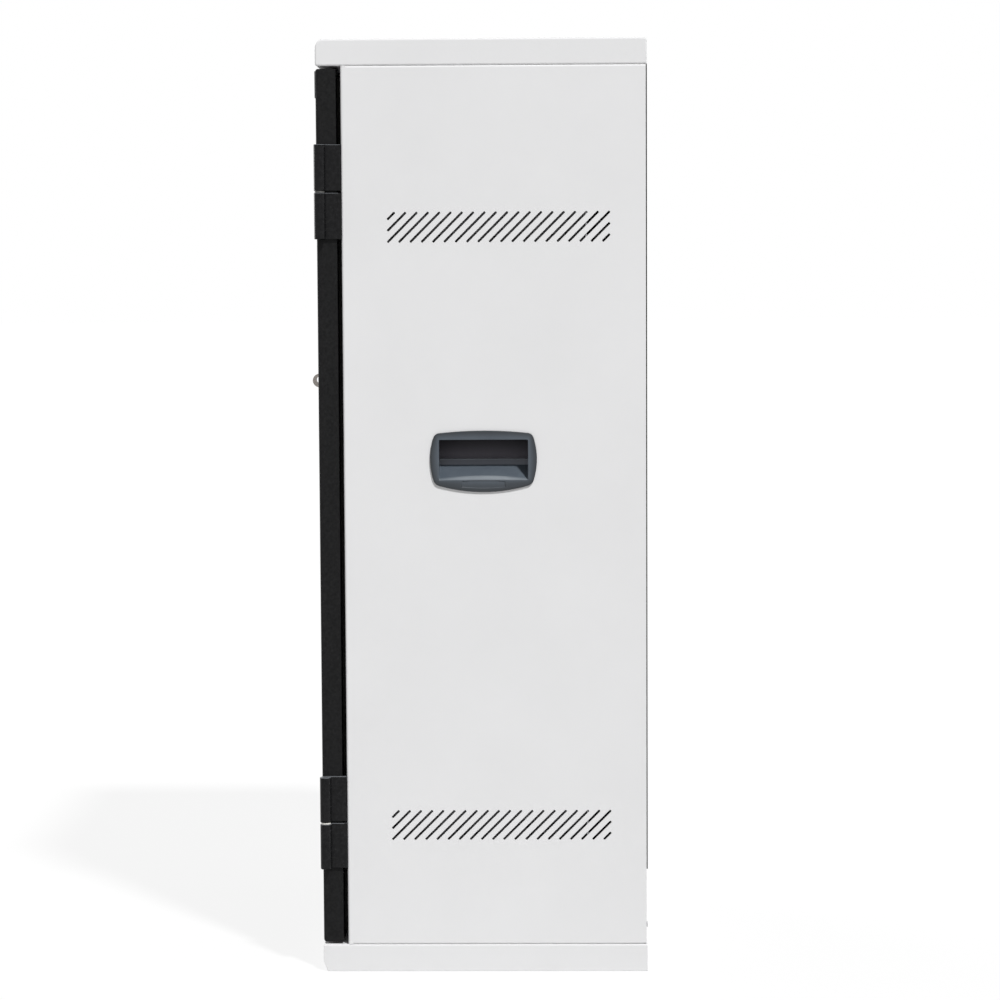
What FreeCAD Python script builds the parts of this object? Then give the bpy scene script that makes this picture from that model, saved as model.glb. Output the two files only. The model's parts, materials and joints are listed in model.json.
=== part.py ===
import FreeCAD, Part
import math
import os

# Device charging cabinet. Millimetres, +Z up, -Y is the front with the door, +X is the hinge side.
# The origin is the centre of the base's underside.
os.makedirs("parts", exist_ok=True)
V = FreeCAD.Vector

# Sheet metal
sheet = 1.2
bend_radius = 2.4
edge_return = 15.0
fit_clearance = 0.3
slide_clearance = 0.3
running_clearance = 0.05

# Carcass
cabinet_width = 440.0
cabinet_depth = 350.5
cabinet_height = 1000.0
cap_height = 28.0
cap_front_radius = 9.0
cap_side_radius = 2.0
base_height = 29.5
base_edge_radius = 1.6
toe_chamfer_depth = 4.2
toe_chamfer_height = 11.0
door_zone = 26.7
front_return = 34.0
rear_return = 20.0
pan_front_return = 62.0
pan_side_return = 25.0
seam_start = 5.5
anchor_spacing_x = 360.0
anchor_spacing_y = 220.0
anchor_hole_radius = 5.0

# Slanted vents in the side panels and the rear panel
vent_pitch = 12.0
vent_width = 2.5
vent_band_height = 30.0
vent_band_length = 234.0
vent_band_y = 18.0
vent_top_inset = 170.2
vent_bottom_inset = 130.7
rear_vent_length = 126.0
rear_vent_rise = 93.0

# Flush carry handles
handle_y = 0.7
handle_z = 553.0
bezel_corner_y = 52.0
bezel_corner_top = 29.5
bezel_corner_bottom = 25.0
bezel_half_width = 57.0
bezel_side_rise = 2.0
bezel_half_height = 33.0
bezel_corner_radius = 4.0
bezel_proud = 3.0
bezel_edge_radius = 2.2
bezel_field_half_width = 22.0
bezel_field_drop = 22.5
bezel_field_margin = 3.5
bezel_field_depth = 0.6
grip_half_width = 47.5
grip_top = 23.0
grip_bottom = 20.0
grip_undercut = 2.5
grip_depth = 26.0
grip_step_depth = 19.5
grip_step_top = 3.0
grip_step_bottom = 5.0
grip_ramp_depth = 2.0
grip_ramp_bottom = 15.5
grip_lip_rise = 1.0
plastic_wall = 2.0
cutout_clearance = 0.5

# Front door
door_side_gap = 3.0
door_top_gap = 3.0
door_bottom_gap = 2.5
door_thickness = 21.5
door_edge_radius = 3.0
door_return = 32.0
seal_inset = 27.0
seal_width = 8.0
seal_gap = 0.3
seal_top_inset = 10.0
stiffener_width = 40.0
stiffener_foot = 12.0
stiffener_depth = 17.5
stiffener_sheet = 1.0
stiffener_end = 38.0
stiffener_lock_inset = 160.0
stiffener_hinge_inset = 137.0
header_height = 28.5
header_drop = 2.0
header_proud = 1.0
header_edge_radius = 0.8

# Lift-off hinges
hinge_top_inset = 129.5
hinge_bottom_inset = 131.3
hinge_half_height = 50.0
hinge_washer = 2.0
washer_running_gap = 0.1
knuckle_radius = 6.0
knuckle_clearance = 0.5
knuckle_proud = 2.0
knuckle_edge_chamfer = 0.6
leaf_clearance = 0.4
leaf_foot = 21.0
hinge_pin_radius = 3.0
hinge_pin_cap = 4.0
hinge_pin_end_gap = 2.0
hinge_pin_chamfer = 1.0

# Key lock with a pinion and two rack rods
lock_inset = 45.0
lock_z = 624.9
rod_inset = 10.9
rack_module = 1.5
pinion_teeth = 12
pressure_angle = 25.0
tooth_addendum = 1.2
tooth_root_gap = 0.25
backlash = 0.12
flank_steps = 4
pinion_width = 5.8
pinion_side_gap = 0.1
rod_width = 8.0
rod_thickness = 5.0
rod_tip_width_chamfer = 2.0
rod_tip_height_chamfer = 3.0
rod_retracted_gap = 1.0
rack_teeth_above = 2
rack_teeth_below = 4
rack_end_share = 0.15
lock_barrel_radius = 9.5
lock_barrel_clearance = 0.1
lock_flange_radius = 13.0
lock_flange_proud = 2.5
lock_flange_chamfer = 1.5
plug_radius = 6.0
plug_proud = 1.5
plug_chamfer = 0.6
plug_square = 7.0
plug_tail_radius = 3.0
keyway_depth = 9.0
key_thickness = 2.0
key_blade_height = 8.0
key_collar_height = 10.4
key_collar_gap = 4.0
key_bow_radius = 8.2
key_hole_radius = 4.2
key_hole_back = 0.8
key_hole_rise = 1.0
key_reach = 39.0
case_wall = 1.5
case_front_gap = 0.5
case_rear_gap = 0.5
case_half_height = 24.0
guide_length = 12.0
guide_wall = 4.0
guide_rear_wall = 3.0
guide_end_inset = 45.0
socket_wall = 2.0
socket_depth = 3.0
socket_collar = 1.5
socket_collar_height = 1.0

# Bays, racks, rails and bulkhead
bay_count = 10
shelf_front_inset = 10.0
shelf_depth = 224.0
shelf_lip = 12.0
shelf_stop = 14.0
shelf_side_gap = 0.3
shelf_tab_width = 20.0
shelf_tab_length = 4.5
shelf_tab_inset = 40.0
tab_slot_clearance = 1.0
notch_radius = 55.0
notch_offset = 20.0
air_slot_length = 60.0
air_slot_width = 10.0
rail_height = 34.0
rail_shelf_gap = 1.0
bulkhead_gap = 6.0
bulkhead_margin = 10.0
rack_overlap = 20.0
slot_clip_share = 0.3

# Flat-headed screws
screw_head_radius = 3.6
screw_shank_radius = 1.9
screw_head_depth = 1.2
screw_length = 6.0
bulkhead_screw_inset = 60.0
rear_screw_low = 12.0
rear_screw_high = 14.0
sill_screw_rise = 20.0
rear_panel_side_gap = 0.4
rear_panel_top_gap = 0.5
rear_panel_bottom_gap = 1.5

# Sill with the mains inlet, main switch, circuit breaker and earth stud
sill_height = 81.0
control_rise = 42.0
inlet_x = -120.0
switch_x = -70.0
breaker_x = -30.0
earth_x = 20.0
inlet_body_width = 27.0
inlet_body_height = 19.8
inlet_flange_width = 31.0
inlet_flange_height = 24.0
inlet_flange_thickness = 2.2
inlet_flange_radius = 2.0
inlet_cavity_width = 24.4
inlet_cavity_height = 16.4
inlet_cavity_depth = 16.5
inlet_corner = 4.5
inlet_depth = 24.0
inlet_pin_spacing = 7.0
inlet_pin_rise = 2.0
inlet_pin_width = 2.0
inlet_pin_height = 4.0
inlet_pin_inset = 2.5
switch_width = 22.0
switch_height = 30.0
switch_flange = 2.0
switch_flange_radius = 1.5
switch_wall = 2.0
switch_depth = 20.0
switch_cavity_depth = 11.0
rocker_tilt = 12.0
rocker_half_length = 10.0
rocker_end_gap = 2.0
rocker_width = 15.0
rocker_pivot_depth = 5.0
rocker_pin_radius = 1.5
rocker_pin_length = 1.0
rocker_pin_gap = 0.2
rocker_skirt = 2.0
rocker_taper = 0.6
rocker_foot_half = 3.0
rocker_foot_drop = 2.5
breaker_width = 18.0
breaker_height = 32.0
breaker_depth = 34.0
breaker_bush_radius = 6.0
breaker_bush_depth = 10.0
breaker_nut_radius = 9.0
breaker_nut_thickness = 1.8
breaker_button_radius = 3.5
breaker_button_proud = 1.2
breaker_button_length = 16.7
breaker_button_chamfer = 0.8
breaker_bore_gap = 0.3
earth_stud_radius = 3.0
earth_stud_length = 16.0
earth_nut_radius = 5.8
earth_nut_thickness = 5.0

# Charger units, ports, power supply, terminal block and duct
charger_width = 70.0
charger_depth = 30.0
charger_overhang = 22.5
fin_height = 10.0
fin_count = 8
port_block_width = 29.0
port_block_height = 15.0
port_block_proud = 1.2
port_block_chamfer = 1.5
port_rise = 45.0
port_width = 9.0
port_opening = 3.4
port_spacing = 14.0
port_tongue_width = 6.6
port_tongue_thickness = 0.7
port_tongue_inset = 0.6
power_gap = 25.0
supply_width = 105.0
supply_depth = 41.0
supply_length = 200.0
supply_rise = 39.0
supply_edge_radius = 1.5
supply_terminal_inset = 8.0
supply_terminal_depth = 21.0
supply_terminal_height = 18.0
supply_slot_rows = 8
supply_slot_pitch = 15.0
supply_slot_rise = 50.0
supply_slot_half_length = 32.0
supply_slot_width = 4.0
supply_slot_depth = 2.0
terminal_rise = 89.0
terminal_height = 26.0
terminal_depth = 22.0
terminal_ways = 6
terminal_pitch = 14.0
terminal_end = 10.0
terminal_well = 6.0
terminal_well_depth = 12.0
terminal_screw_rise = 10.0
terminal_entry_front = 3.0
duct_gap = 34.0
duct_top_gap = 71.0
duct_width = 30.0
duct_depth = 28.0
duct_wall = 1.6
duct_pitch = 40.0
duct_slot = 10.0
duct_slot_start = 20.0
duct_floor = 10.0
duct_cover_lap = 6.0

# Power manager behind the top rail, with its button and lamps in the rail
manager_x0 = 90.0
manager_width = 82.0
manager_depth = 38.0
manager_top_gap = 2.0
manager_edge_radius = 2.0
manager_control_drop = 23.0
manager_button_inset = 22.0
manager_button_radius = 4.0
manager_button_proud = 2.0
manager_button_length = 9.4
manager_button_travel = 1.5
manager_button_chamfer = 0.7
lamp_count = 3
lamp_inset = 18.0
lamp_pitch = 11.0
lamp_radius = 1.6
lamp_proud = 0.8
lamp_chamfer = 0.5

# Derived places
half_width = cabinet_width / 2
front_y = -cabinet_depth / 2
rear_y = cabinet_depth / 2
cap_z = cabinet_height - cap_height
carcass_y = front_y + door_zone
panel_rear_y = rear_y - sheet
rack_x = half_width - front_return
web_x = rack_x - sheet
rack_front_y = carcass_y + sheet
shelf_front_y = carcass_y + shelf_front_inset
shelf_rear_y = shelf_front_y + shelf_depth
bulkhead_y = shelf_rear_y + bulkhead_gap
rack_rear_y = bulkhead_y + rack_overlap
charger_y = bulkhead_y + sheet
first_shelf_top = base_height + rail_height + rail_shelf_gap + sheet
bay_pitch = (cap_z - rail_height - first_shelf_top) / bay_count
vent_upper_z = cap_z - vent_top_inset
vent_lower_z = base_height + vent_bottom_inset
door_x0 = -half_width
door_x1 = half_width - door_side_gap
door_z0 = base_height + door_bottom_gap
door_z1 = cap_z - door_top_gap
door_rear_y = front_y + door_thickness
hinge_x = half_width - door_side_gap + knuckle_radius + knuckle_clearance
hinge_y = front_y + knuckle_radius - knuckle_proud
hinge_heights = (door_z1 - hinge_top_inset, door_z0 + hinge_bottom_inset)
lock_x = -half_width + lock_inset
rod_y = front_y + rod_inset
pitch_radius = rack_module * pinion_teeth / 2
tooth_pitch = math.pi * rack_module
tooth_half = (tooth_pitch / 2 - backlash) / 2
tooth_reach = pitch_radius - tooth_addendum
rod_root = pitch_radius + tooth_addendum + tooth_root_gap
case_front_y = rod_y - pinion_width / 2 - case_front_gap - case_wall
case_rear_y = rod_y + pinion_width / 2 + case_rear_gap + case_wall
plug_face_y = front_y - lock_flange_proud - plug_proud
sill_top = base_height + sill_height
sill_face_y = panel_rear_y - sheet
control_z = base_height + control_rise
rear_panel_z0 = sill_top + rear_panel_bottom_gap
rocker_face_y = sill_face_y + switch_flange
rocker_pivot_y = rocker_face_y - rocker_pivot_depth
supply_x1 = -charger_width / 2 - power_gap
supply_x0 = supply_x1 - supply_width
supply_z0 = sill_top + supply_rise
terminal_x0 = charger_width / 2 + power_gap
terminal_z0 = sill_top + terminal_rise
duct_x0 = terminal_x0
duct_x1 = duct_x0 + duct_width
duct_z0 = terminal_z0 + terminal_height + duct_gap
duct_z1 = cap_z - duct_top_gap
manager_control_z = cap_z - manager_control_drop
manager_button_x = manager_x0 + manager_width - manager_button_inset
lamp_places = [manager_x0 + lamp_inset + lamp_pitch * i for i in range(lamp_count)]

# Room that a cutting tool has beyond the face it cuts, and the tolerance for picking edges
beyond = 1.0
near = 0.01


def box(x0, x1, y0, y1, z0, z1):
    return Part.makeBox(x1 - x0, y1 - y0, z1 - z0, V(x0, y0, z0))


def round_bar(radius, start, end):
    along = end - start
    return Part.makeCylinder(radius, along.Length, start, along)


def bar_along_y(radius, x, z, y0, y1):
    return round_bar(radius, V(x, y0, z), V(x, y1, z))


def prism(points, along):
    wire = Part.makePolygon(points + [points[0]])
    return Part.Face(wire).extrude(along)


def hexagon_along_y(radius, x, z, y0, y1):
    points = []
    for corner in range(6):
        angle = math.radians(60 * corner)
        points.append(V(x + radius * math.cos(angle), y0, z + radius * math.sin(angle)))
    return prism(points, V(0, y1 - y0, 0))


def pick_edges(shape, test):
    return [edge for edge in shape.Edges if test(edge.BoundBox)]


def mirror_x(shape):
    return shape.mirror(V(0, 0, 0), V(1, 0, 0))


def group(shapes):
    return Part.makeCompound(shapes)


def save(name, shape):
    shape.exportStep("parts/" + name + ".step")


def slot_tool(centre, half_length, width, direction, across, depth):
    """A flat slot with clipped ends, pushed along depth."""
    half = width / 2
    clip = width * slot_clip_share
    ends = [(half_length + half, half - clip), (half_length + clip, half)]
    corners = [(-along, side) for along, side in ends] + [(along, side) for along, side in reversed(ends)]
    corners += [(along, -side) for along, side in reversed(corners)]
    points = [centre + direction * along + across * side for along, side in corners]
    return prism(points, depth)


# Cap and base

def quarter_arc(start, corner, end):
    """The arc of a rounded right-angled corner, from start to end."""
    centre = start + end - corner
    middle = centre + (corner - centre) * math.sqrt(0.5)
    return Part.Arc(start, middle, end).toShape()


def cap_profile(inset):
    x = -half_width + inset
    y0 = front_y + inset
    y1 = rear_y - inset
    z0 = cap_z + inset
    z1 = cabinet_height - inset
    top = cap_front_radius - inset
    low = bend_radius - inset
    edges = [
        Part.LineSegment(V(x, y0, z0 + low), V(x, y0, z1 - top)).toShape(),
        quarter_arc(V(x, y0, z1 - top), V(x, y0, z1), V(x, y0 + top, z1)),
        Part.LineSegment(V(x, y0 + top, z1), V(x, y1 - low, z1)).toShape(),
        quarter_arc(V(x, y1 - low, z1), V(x, y1, z1), V(x, y1, z1 - low)),
        Part.LineSegment(V(x, y1, z1 - low), V(x, y1, z0)).toShape(),
        Part.LineSegment(V(x, y1, z0), V(x, y0 + low, z0)).toShape(),
        quarter_arc(V(x, y0 + low, z0), V(x, y0, z0), V(x, y0, z0 + low)),
    ]
    face = Part.Face(Part.Wire(edges))
    return face.extrude(V(2 * (half_width - inset), 0, 0))


def rod_hole(z0, z1, side, clearance):
    """The square hole that a lock rod passes through; side is 1 for the upper rod, -1 for the lower."""
    close = lock_x + side * (rod_root - clearance)
    far = lock_x + side * (rod_root + rod_width + clearance)
    half = rod_thickness / 2 + clearance
    return box(min(close, far), max(close, far), rod_y - half, rod_y + half, z0, z1)


def pan_mouth(z0, z1):
    """The opening inside the folded returns of the cap's and the base's inner plate."""
    return box(-half_width + pan_side_return, half_width - pan_side_return,
               front_y + pan_front_return, rear_y - pan_side_return, z0, z1)


def top_cap():
    outer = cap_profile(0.0)
    sides = pick_edges(outer, lambda b: b.XLength < near and b.ZMin > cabinet_height - near)
    outer = outer.makeFillet(cap_side_radius, sides)
    shell = outer.cut(cap_profile(sheet))
    z0 = cap_z - beyond
    z1 = cap_z + 2 * sheet
    return shell.cut(pan_mouth(z0, z1)).cut(rod_hole(z0, z1, 1, socket_wall))


def base_profile(inset):
    x = -half_width + inset
    slope = math.hypot(toe_chamfer_depth, toe_chamfer_height)
    shift_y = inset * (slope - toe_chamfer_height) / toe_chamfer_depth
    shift_z = inset * (slope - toe_chamfer_depth) / toe_chamfer_height
    points = [
        V(x, front_y + inset, base_height - inset),
        V(x, front_y + inset, toe_chamfer_height + inset - shift_z),
        V(x, front_y + toe_chamfer_depth + inset - shift_y, inset),
        V(x, rear_y - inset, inset),
        V(x, rear_y - inset, base_height - inset),
    ]
    return prism(points, V(2 * (half_width - inset), 0, 0))


def base_pan():
    outer = base_profile(0.0)
    rim = pick_edges(outer, lambda b: b.ZMin > base_height - near)
    outer = outer.makeFillet(base_edge_radius, rim)
    shell = outer.cut(base_profile(sheet))
    z0 = base_height - 2 * sheet
    z1 = base_height + beyond
    shell = shell.cut(pan_mouth(z0, z1)).cut(rod_hole(z0, z1, -1, socket_wall))
    for x in (-anchor_spacing_x / 2, anchor_spacing_x / 2):
        for y in (-anchor_spacing_y / 2, anchor_spacing_y / 2):
            shell = shell.cut(round_bar(anchor_hole_radius, V(x, y, -beyond), V(x, y, 2 * sheet)))
    return shell


# Side panels

def vent_band(centre_y, centre_z, length, x, depth):
    """A band of slots at 45 degrees, clipped by the band's own rectangle."""
    slots = []
    steps = math.floor((length + vent_band_height) / vent_pitch)
    start = -math.floor(vent_band_height / vent_pitch) * vent_pitch
    for step in range(steps + 1):
        foot = start + step * vent_pitch
        low = max(0.0, -foot)
        high = min(vent_band_height, length - foot)
        if high - low < vent_width:
            continue
        middle = (low + high) / 2
        centre = V(x, centre_y - length / 2 + foot + middle, centre_z - vent_band_height / 2 + middle)
        direction = V(0, 1, 1).normalize()
        across = V(0, -1, 1).normalize()
        half_length = (high - low) / 2 * math.sqrt(2)
        slots.append(slot_tool(centre, half_length, vent_width, direction, across, V(depth, 0, 0)))
    return group(slots)


def side_bend_tool(edge_z, side):
    """What a rounded bend takes off the panel's upper or lower edge, behind the seamless front."""
    y0 = carcass_y + seam_start
    length = panel_rear_y + beyond - y0
    axis_x = half_width - bend_radius
    axis_z = edge_z + side * bend_radius
    reach = bend_radius + beyond
    corner = Part.makeBox(reach, length, reach, V(axis_x, y0, min(axis_z, axis_z - side * reach)))
    return corner.cut(round_bar(bend_radius, V(axis_x, y0, axis_z), V(axis_x, y0 + length, axis_z)))


def side_panel():
    skin_x = half_width - sheet
    outer = box(rack_x, half_width, carcass_y, panel_rear_y, base_height, cap_z)
    upright = pick_edges(outer, lambda b: b.XMin > half_width - near and b.YMax < carcass_y + near)
    outer = outer.makeFillet(bend_radius, upright)
    inner_y0 = carcass_y + sheet
    inner_y1 = panel_rear_y - sheet
    panel = outer.cut(box(rack_x - beyond, skin_x, inner_y0, inner_y1, base_height + sheet, cap_z - sheet))
    low = base_height - beyond
    high = cap_z + beyond
    panel = panel.cut(box(rack_x - beyond, half_width - edge_return, inner_y0, inner_y1, low, high))
    panel = panel.cut(box(rack_x - beyond, half_width - rear_return, inner_y1, rear_y, low, high))
    for edge_z, side in ((cap_z, -1), (base_height, 1)):
        panel = panel.cut(side_bend_tool(edge_z, side))
    for centre_z in (vent_upper_z, vent_lower_z):
        panel = panel.cut(vent_band(vent_band_y, centre_z, vent_band_length, skin_x - beyond,
                                    sheet + 2 * beyond))
    return panel.cut(handle_hole()).cut(group(rear_screws()))


# Flush carry handle: a bowed bezel outside and a moulded cup inside the panel

def handle_point(depth, across, up):
    return V(half_width - depth, handle_y + across, handle_z + up)


def handle_hole():
    half = grip_half_width + plastic_wall + cutout_clearance
    return box(half_width - 2 * sheet, half_width + beyond, handle_y - half, handle_y + half,
               handle_z - grip_bottom - plastic_wall - cutout_clearance,
               handle_z + grip_top + grip_undercut + plastic_wall + cutout_clearance)


def handle_bezel():
    corners = [(-bezel_corner_y, bezel_corner_top), (bezel_corner_y, bezel_corner_top),
               (bezel_corner_y, -bezel_corner_bottom), (-bezel_corner_y, -bezel_corner_bottom)]
    middles = [(0.0, bezel_half_height), (bezel_half_width, bezel_side_rise),
               (0.0, -bezel_half_height), (-bezel_half_width, bezel_side_rise)]
    edges = []
    for i, middle in enumerate(middles):
        start = handle_point(0, *corners[i])
        end = handle_point(0, *corners[(i + 1) % 4])
        edges.append(Part.Arc(start, handle_point(0, *middle), end).toShape())
    plate = Part.Face(Part.Wire(edges)).extrude(V(bezel_proud, 0, 0))
    plate = plate.makeFillet(bezel_corner_radius, pick_edges(plate, lambda b: b.XLength > bezel_proud / 2))
    rim = pick_edges(plate, lambda b: b.XMin > half_width + bezel_proud - near)
    return plate.makeFillet(bezel_edge_radius, rim)


def grip_section(wall):
    """The section behind the mouth: a deep pocket above, a step, and a ramp that falls to the lip."""
    return [
        (grip_depth + wall, grip_top + grip_undercut + wall),
        (grip_depth + wall, grip_step_top - wall),
        (grip_step_depth + wall, grip_step_top - wall),
        (grip_step_depth + wall, -grip_step_bottom - wall),
        (grip_ramp_depth + wall, -grip_ramp_bottom - wall),
    ]


def grip_outer():
    half = grip_half_width + plastic_wall
    section = [(0.0, grip_top + grip_undercut + plastic_wall)] + grip_section(plastic_wall)
    section += [(0.0, -grip_bottom - plastic_wall)]
    return prism([handle_point(depth, -half, up) for depth, up in section], V(0, 2 * half, 0))


def grip_hollow():
    mouth = -bezel_proud - beyond
    section = [(mouth, grip_top), (0.0, grip_top), (plastic_wall, grip_top + grip_undercut)]
    section += grip_section(0.0) + [(mouth, grip_lip_rise - grip_bottom)]
    return prism([handle_point(depth, -grip_half_width, up) for depth, up in section],
                 V(0, 2 * grip_half_width, 0))


def bezel_field():
    """A shallow bare field in the band below the mouth; its lower edge runs along the bezel's own."""
    sag = bezel_half_height - bezel_corner_bottom
    outline_radius = (bezel_corner_y ** 2 + sag ** 2) / (2 * sag)
    rise = outline_radius - bezel_half_height
    floor = bezel_field_depth - bezel_proud
    disc = Part.makeCylinder(outline_radius - bezel_field_margin, bezel_field_depth + beyond,
                             handle_point(floor, 0, rise), V(1, 0, 0))
    low = handle_point(floor, -bezel_field_half_width, -bezel_half_height)
    band = Part.makeBox(bezel_field_depth + beyond, 2 * bezel_field_half_width,
                        bezel_half_height - bezel_field_drop, low)
    return disc.common(band)


def carry_handle():
    handle = handle_bezel().fuse(grip_outer()).cut(grip_hollow()).removeSplitter()
    return handle.cut(bezel_field())


# Racks, shelves, rails and bulkhead

def shelf_top(index):
    return first_shelf_top + index * bay_pitch


def tab_places():
    return (shelf_front_y + shelf_tab_inset, shelf_rear_y - shelf_tab_inset)


def shelf_rack():
    z0 = base_height + sheet
    z1 = cap_z - sheet
    web = box(web_x, rack_x, rack_front_y, rack_rear_y, z0, z1)
    front = box(web_x, half_width - edge_return, rack_front_y, rack_front_y + sheet, z0, z1)
    rear = box(web_x, half_width - sheet, rack_rear_y - sheet, rack_rear_y, z0, z1)
    frame = web.fuse([front, rear])
    half = (shelf_tab_width + tab_slot_clearance) / 2
    slots = []
    for index in range(bay_count):
        top = shelf_top(index)
        for y in tab_places():
            slots.append(box(web_x - beyond, rack_x + beyond, y - half, y + half, top - sheet,
                             top + tab_slot_clearance))
    return frame.cut(group(slots + bulkhead_screws())).removeSplitter()


def device_shelf(index):
    top = shelf_top(index)
    half = web_x - shelf_side_gap
    plate = box(-half, half, shelf_front_y, shelf_rear_y, top - sheet, top)
    lip = box(-half, half, shelf_front_y, shelf_front_y + sheet, top - shelf_lip, top)
    stop = box(-half, half, shelf_rear_y - sheet, shelf_rear_y, top - sheet, top + shelf_stop)
    tabs = []
    for y in tab_places():
        tabs.append(box(-half - shelf_tab_length, half + shelf_tab_length, y - shelf_tab_width / 2,
                        y + shelf_tab_width / 2, top - sheet, top))
    shelf = plate.fuse([lip, stop] + tabs).removeSplitter()
    notch_y = shelf_front_y - notch_offset
    notch = round_bar(notch_radius, V(0, notch_y, top - shelf_lip - beyond), V(0, notch_y, top + beyond))
    shelf = shelf.cut(notch)
    for x in (-half / 2, half / 2):
        centre = V(x, (shelf_front_y + shelf_rear_y) / 2, top - sheet - beyond)
        shelf = shelf.cut(slot_tool(centre, air_slot_length / 2, air_slot_width, V(1, 0, 0), V(0, 1, 0),
                                    V(0, 0, sheet + 2 * beyond)))
    return shelf


def front_rail(z0, z1, flange_z):
    plate = box(-rack_x, rack_x, carcass_y, carcass_y + sheet, z0, z1)
    half = web_x - shelf_side_gap
    flange = box(-half, half, carcass_y, shelf_front_y - rail_shelf_gap, flange_z, flange_z + sheet)
    return plate.fuse(flange).removeSplitter()


def front_top_rail():
    z0 = cap_z - rail_height
    y0 = carcass_y - beyond
    y1 = carcass_y + sheet + beyond
    holes = [bar_along_y(manager_button_radius + fit_clearance, manager_button_x, manager_control_z, y0, y1)]
    for x in lamp_places:
        holes.append(bar_along_y(lamp_radius, x, manager_control_z, y0, y1))
    return front_rail(z0, cap_z, z0).cut(group(holes))


def front_bottom_rail():
    z1 = base_height + rail_height
    return front_rail(base_height, z1, z1 - sheet)


def port_z(index):
    return shelf_top(index) + port_rise


def bulkhead():
    z0 = base_height + bulkhead_margin
    z1 = cap_z - bulkhead_margin
    plate = box(-web_x, web_x, bulkhead_y, charger_y, z0, z1)
    flanges = [box(-web_x, -web_x + sheet, bulkhead_y, bulkhead_y + edge_return, z0, z1),
               box(web_x - sheet, web_x, bulkhead_y, bulkhead_y + edge_return, z0, z1)]
    half_x = port_block_width / 2 + fit_clearance
    half_z = port_block_height / 2 + fit_clearance
    windows = []
    for index in range(bay_count):
        z = port_z(index)
        windows.append(box(-half_x, half_x, bulkhead_y - beyond, charger_y + beyond, z - half_z, z + half_z))
    return plate.fuse(flanges).removeSplitter().cut(group(windows + bulkhead_screws()))


# Flat-headed screws: a sunk cone and a short shank, all in one group

def sunk_screw(place, along):
    head = Part.makeCone(screw_head_radius, screw_shank_radius, screw_head_depth, place, along)
    return head.fuse(round_bar(screw_shank_radius, place, place + along * screw_length)).removeSplitter()


def bulkhead_screws():
    y = bulkhead_y + edge_return / 2 + sheet
    screws = []
    for side in (-1, 1):
        for z in (base_height + bulkhead_screw_inset, cap_z - bulkhead_screw_inset):
            screws.append(sunk_screw(V(side * (web_x - sheet), y, z), V(side, 0, 0)))
    return screws


def rear_screws():
    low = rear_panel_z0 + rear_screw_low
    high = cap_z - rear_screw_high
    screws = []
    for side in (-1, 1):
        for z in (base_height + sill_screw_rise, low, (low + high) / 2, high):
            place = V(side * (half_width - rear_return / 2), rear_y, z)
            screws.append(sunk_screw(place, V(0, -1, 0)))
    return screws


def rear_panel():
    x = half_width - rear_panel_side_gap
    panel = box(-x, x, panel_rear_y, rear_y, rear_panel_z0, cap_z - rear_panel_top_gap)
    bands = []
    for centre_z in (vent_upper_z, sill_top + rear_vent_rise):
        band = vent_band(0.0, centre_z, rear_vent_length, 0.0, sheet + 2 * beyond)
        band.rotate(V(0, 0, 0), V(0, 0, 1), 90)
        band.translate(V(0, panel_rear_y - beyond, 0))
        bands.append(band)
    return panel.cut(bands).cut(group(rear_screws()))


# Sill with the mains inlet, main switch, circuit breaker and earth stud

def window(x, half_x, half_z):
    """A rectangular hole through the sill for a snap-in part."""
    return box(x - half_x, x + half_x, sill_face_y - 2 * sheet, sill_face_y + beyond,
               control_z - half_z, control_z + half_z)


def rear_sill():
    x = half_width - sheet
    plate = box(-x, x, sill_face_y - sheet, sill_face_y, base_height + sheet, sill_top)
    flange = box(-x, x, sill_face_y - edge_return, sill_face_y, sill_top - sheet, sill_top)
    sill = plate.fuse(flange).removeSplitter()
    cuts = [
        window(inlet_x, inlet_body_width / 2 + fit_clearance, inlet_body_height / 2 + fit_clearance),
        window(switch_x, switch_width / 2 - switch_wall + fit_clearance,
               switch_height / 2 - switch_wall + fit_clearance),
        bar_along_y(breaker_bush_radius + fit_clearance, breaker_x, control_z, sill_face_y - 2 * sheet,
                    sill_face_y + beyond),
        bar_along_y(earth_stud_radius, earth_x, control_z, sill_face_y - 2 * sheet, sill_face_y + beyond),
    ]
    return sill.cut(group(cuts)).cut(group(rear_screws()))


def mains_inlet():
    flange_x = inlet_flange_width / 2
    flange_z = inlet_flange_height / 2
    mouth_y = sill_face_y + inlet_flange_thickness
    flange = box(inlet_x - flange_x, inlet_x + flange_x, sill_face_y, mouth_y,
                 control_z - flange_z, control_z + flange_z)
    flange = flange.makeFillet(inlet_flange_radius, pick_edges(flange, lambda b: b.YLength > sheet))
    body_x = inlet_body_width / 2
    body_z = inlet_body_height / 2
    body = box(inlet_x - body_x, inlet_x + body_x, sill_face_y - inlet_depth, sill_face_y,
               control_z - body_z, control_z + body_z)
    w = inlet_cavity_width / 2
    h = inlet_cavity_height / 2
    outline = [(-w, -h), (w, -h), (w, h - inlet_corner), (w - inlet_corner, h), (-w + inlet_corner, h),
               (-w, h - inlet_corner)]
    cavity = prism([V(inlet_x + a, mouth_y + beyond, control_z + b) for a, b in outline],
                   V(0, -inlet_cavity_depth - beyond, 0))
    shell = flange.fuse(body).removeSplitter().cut(cavity)
    pins = []
    for shift, rise in ((-inlet_pin_spacing, -inlet_pin_rise), (inlet_pin_spacing, -inlet_pin_rise),
                        (0.0, inlet_pin_rise)):
        x = inlet_x + shift
        z = control_z + rise
        pins.append(box(x - inlet_pin_width / 2, x + inlet_pin_width / 2, mouth_y - inlet_cavity_depth,
                        mouth_y - inlet_pin_inset, z - inlet_pin_height / 2, z + inlet_pin_height / 2))
    return shell.fuse(pins)


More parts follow.
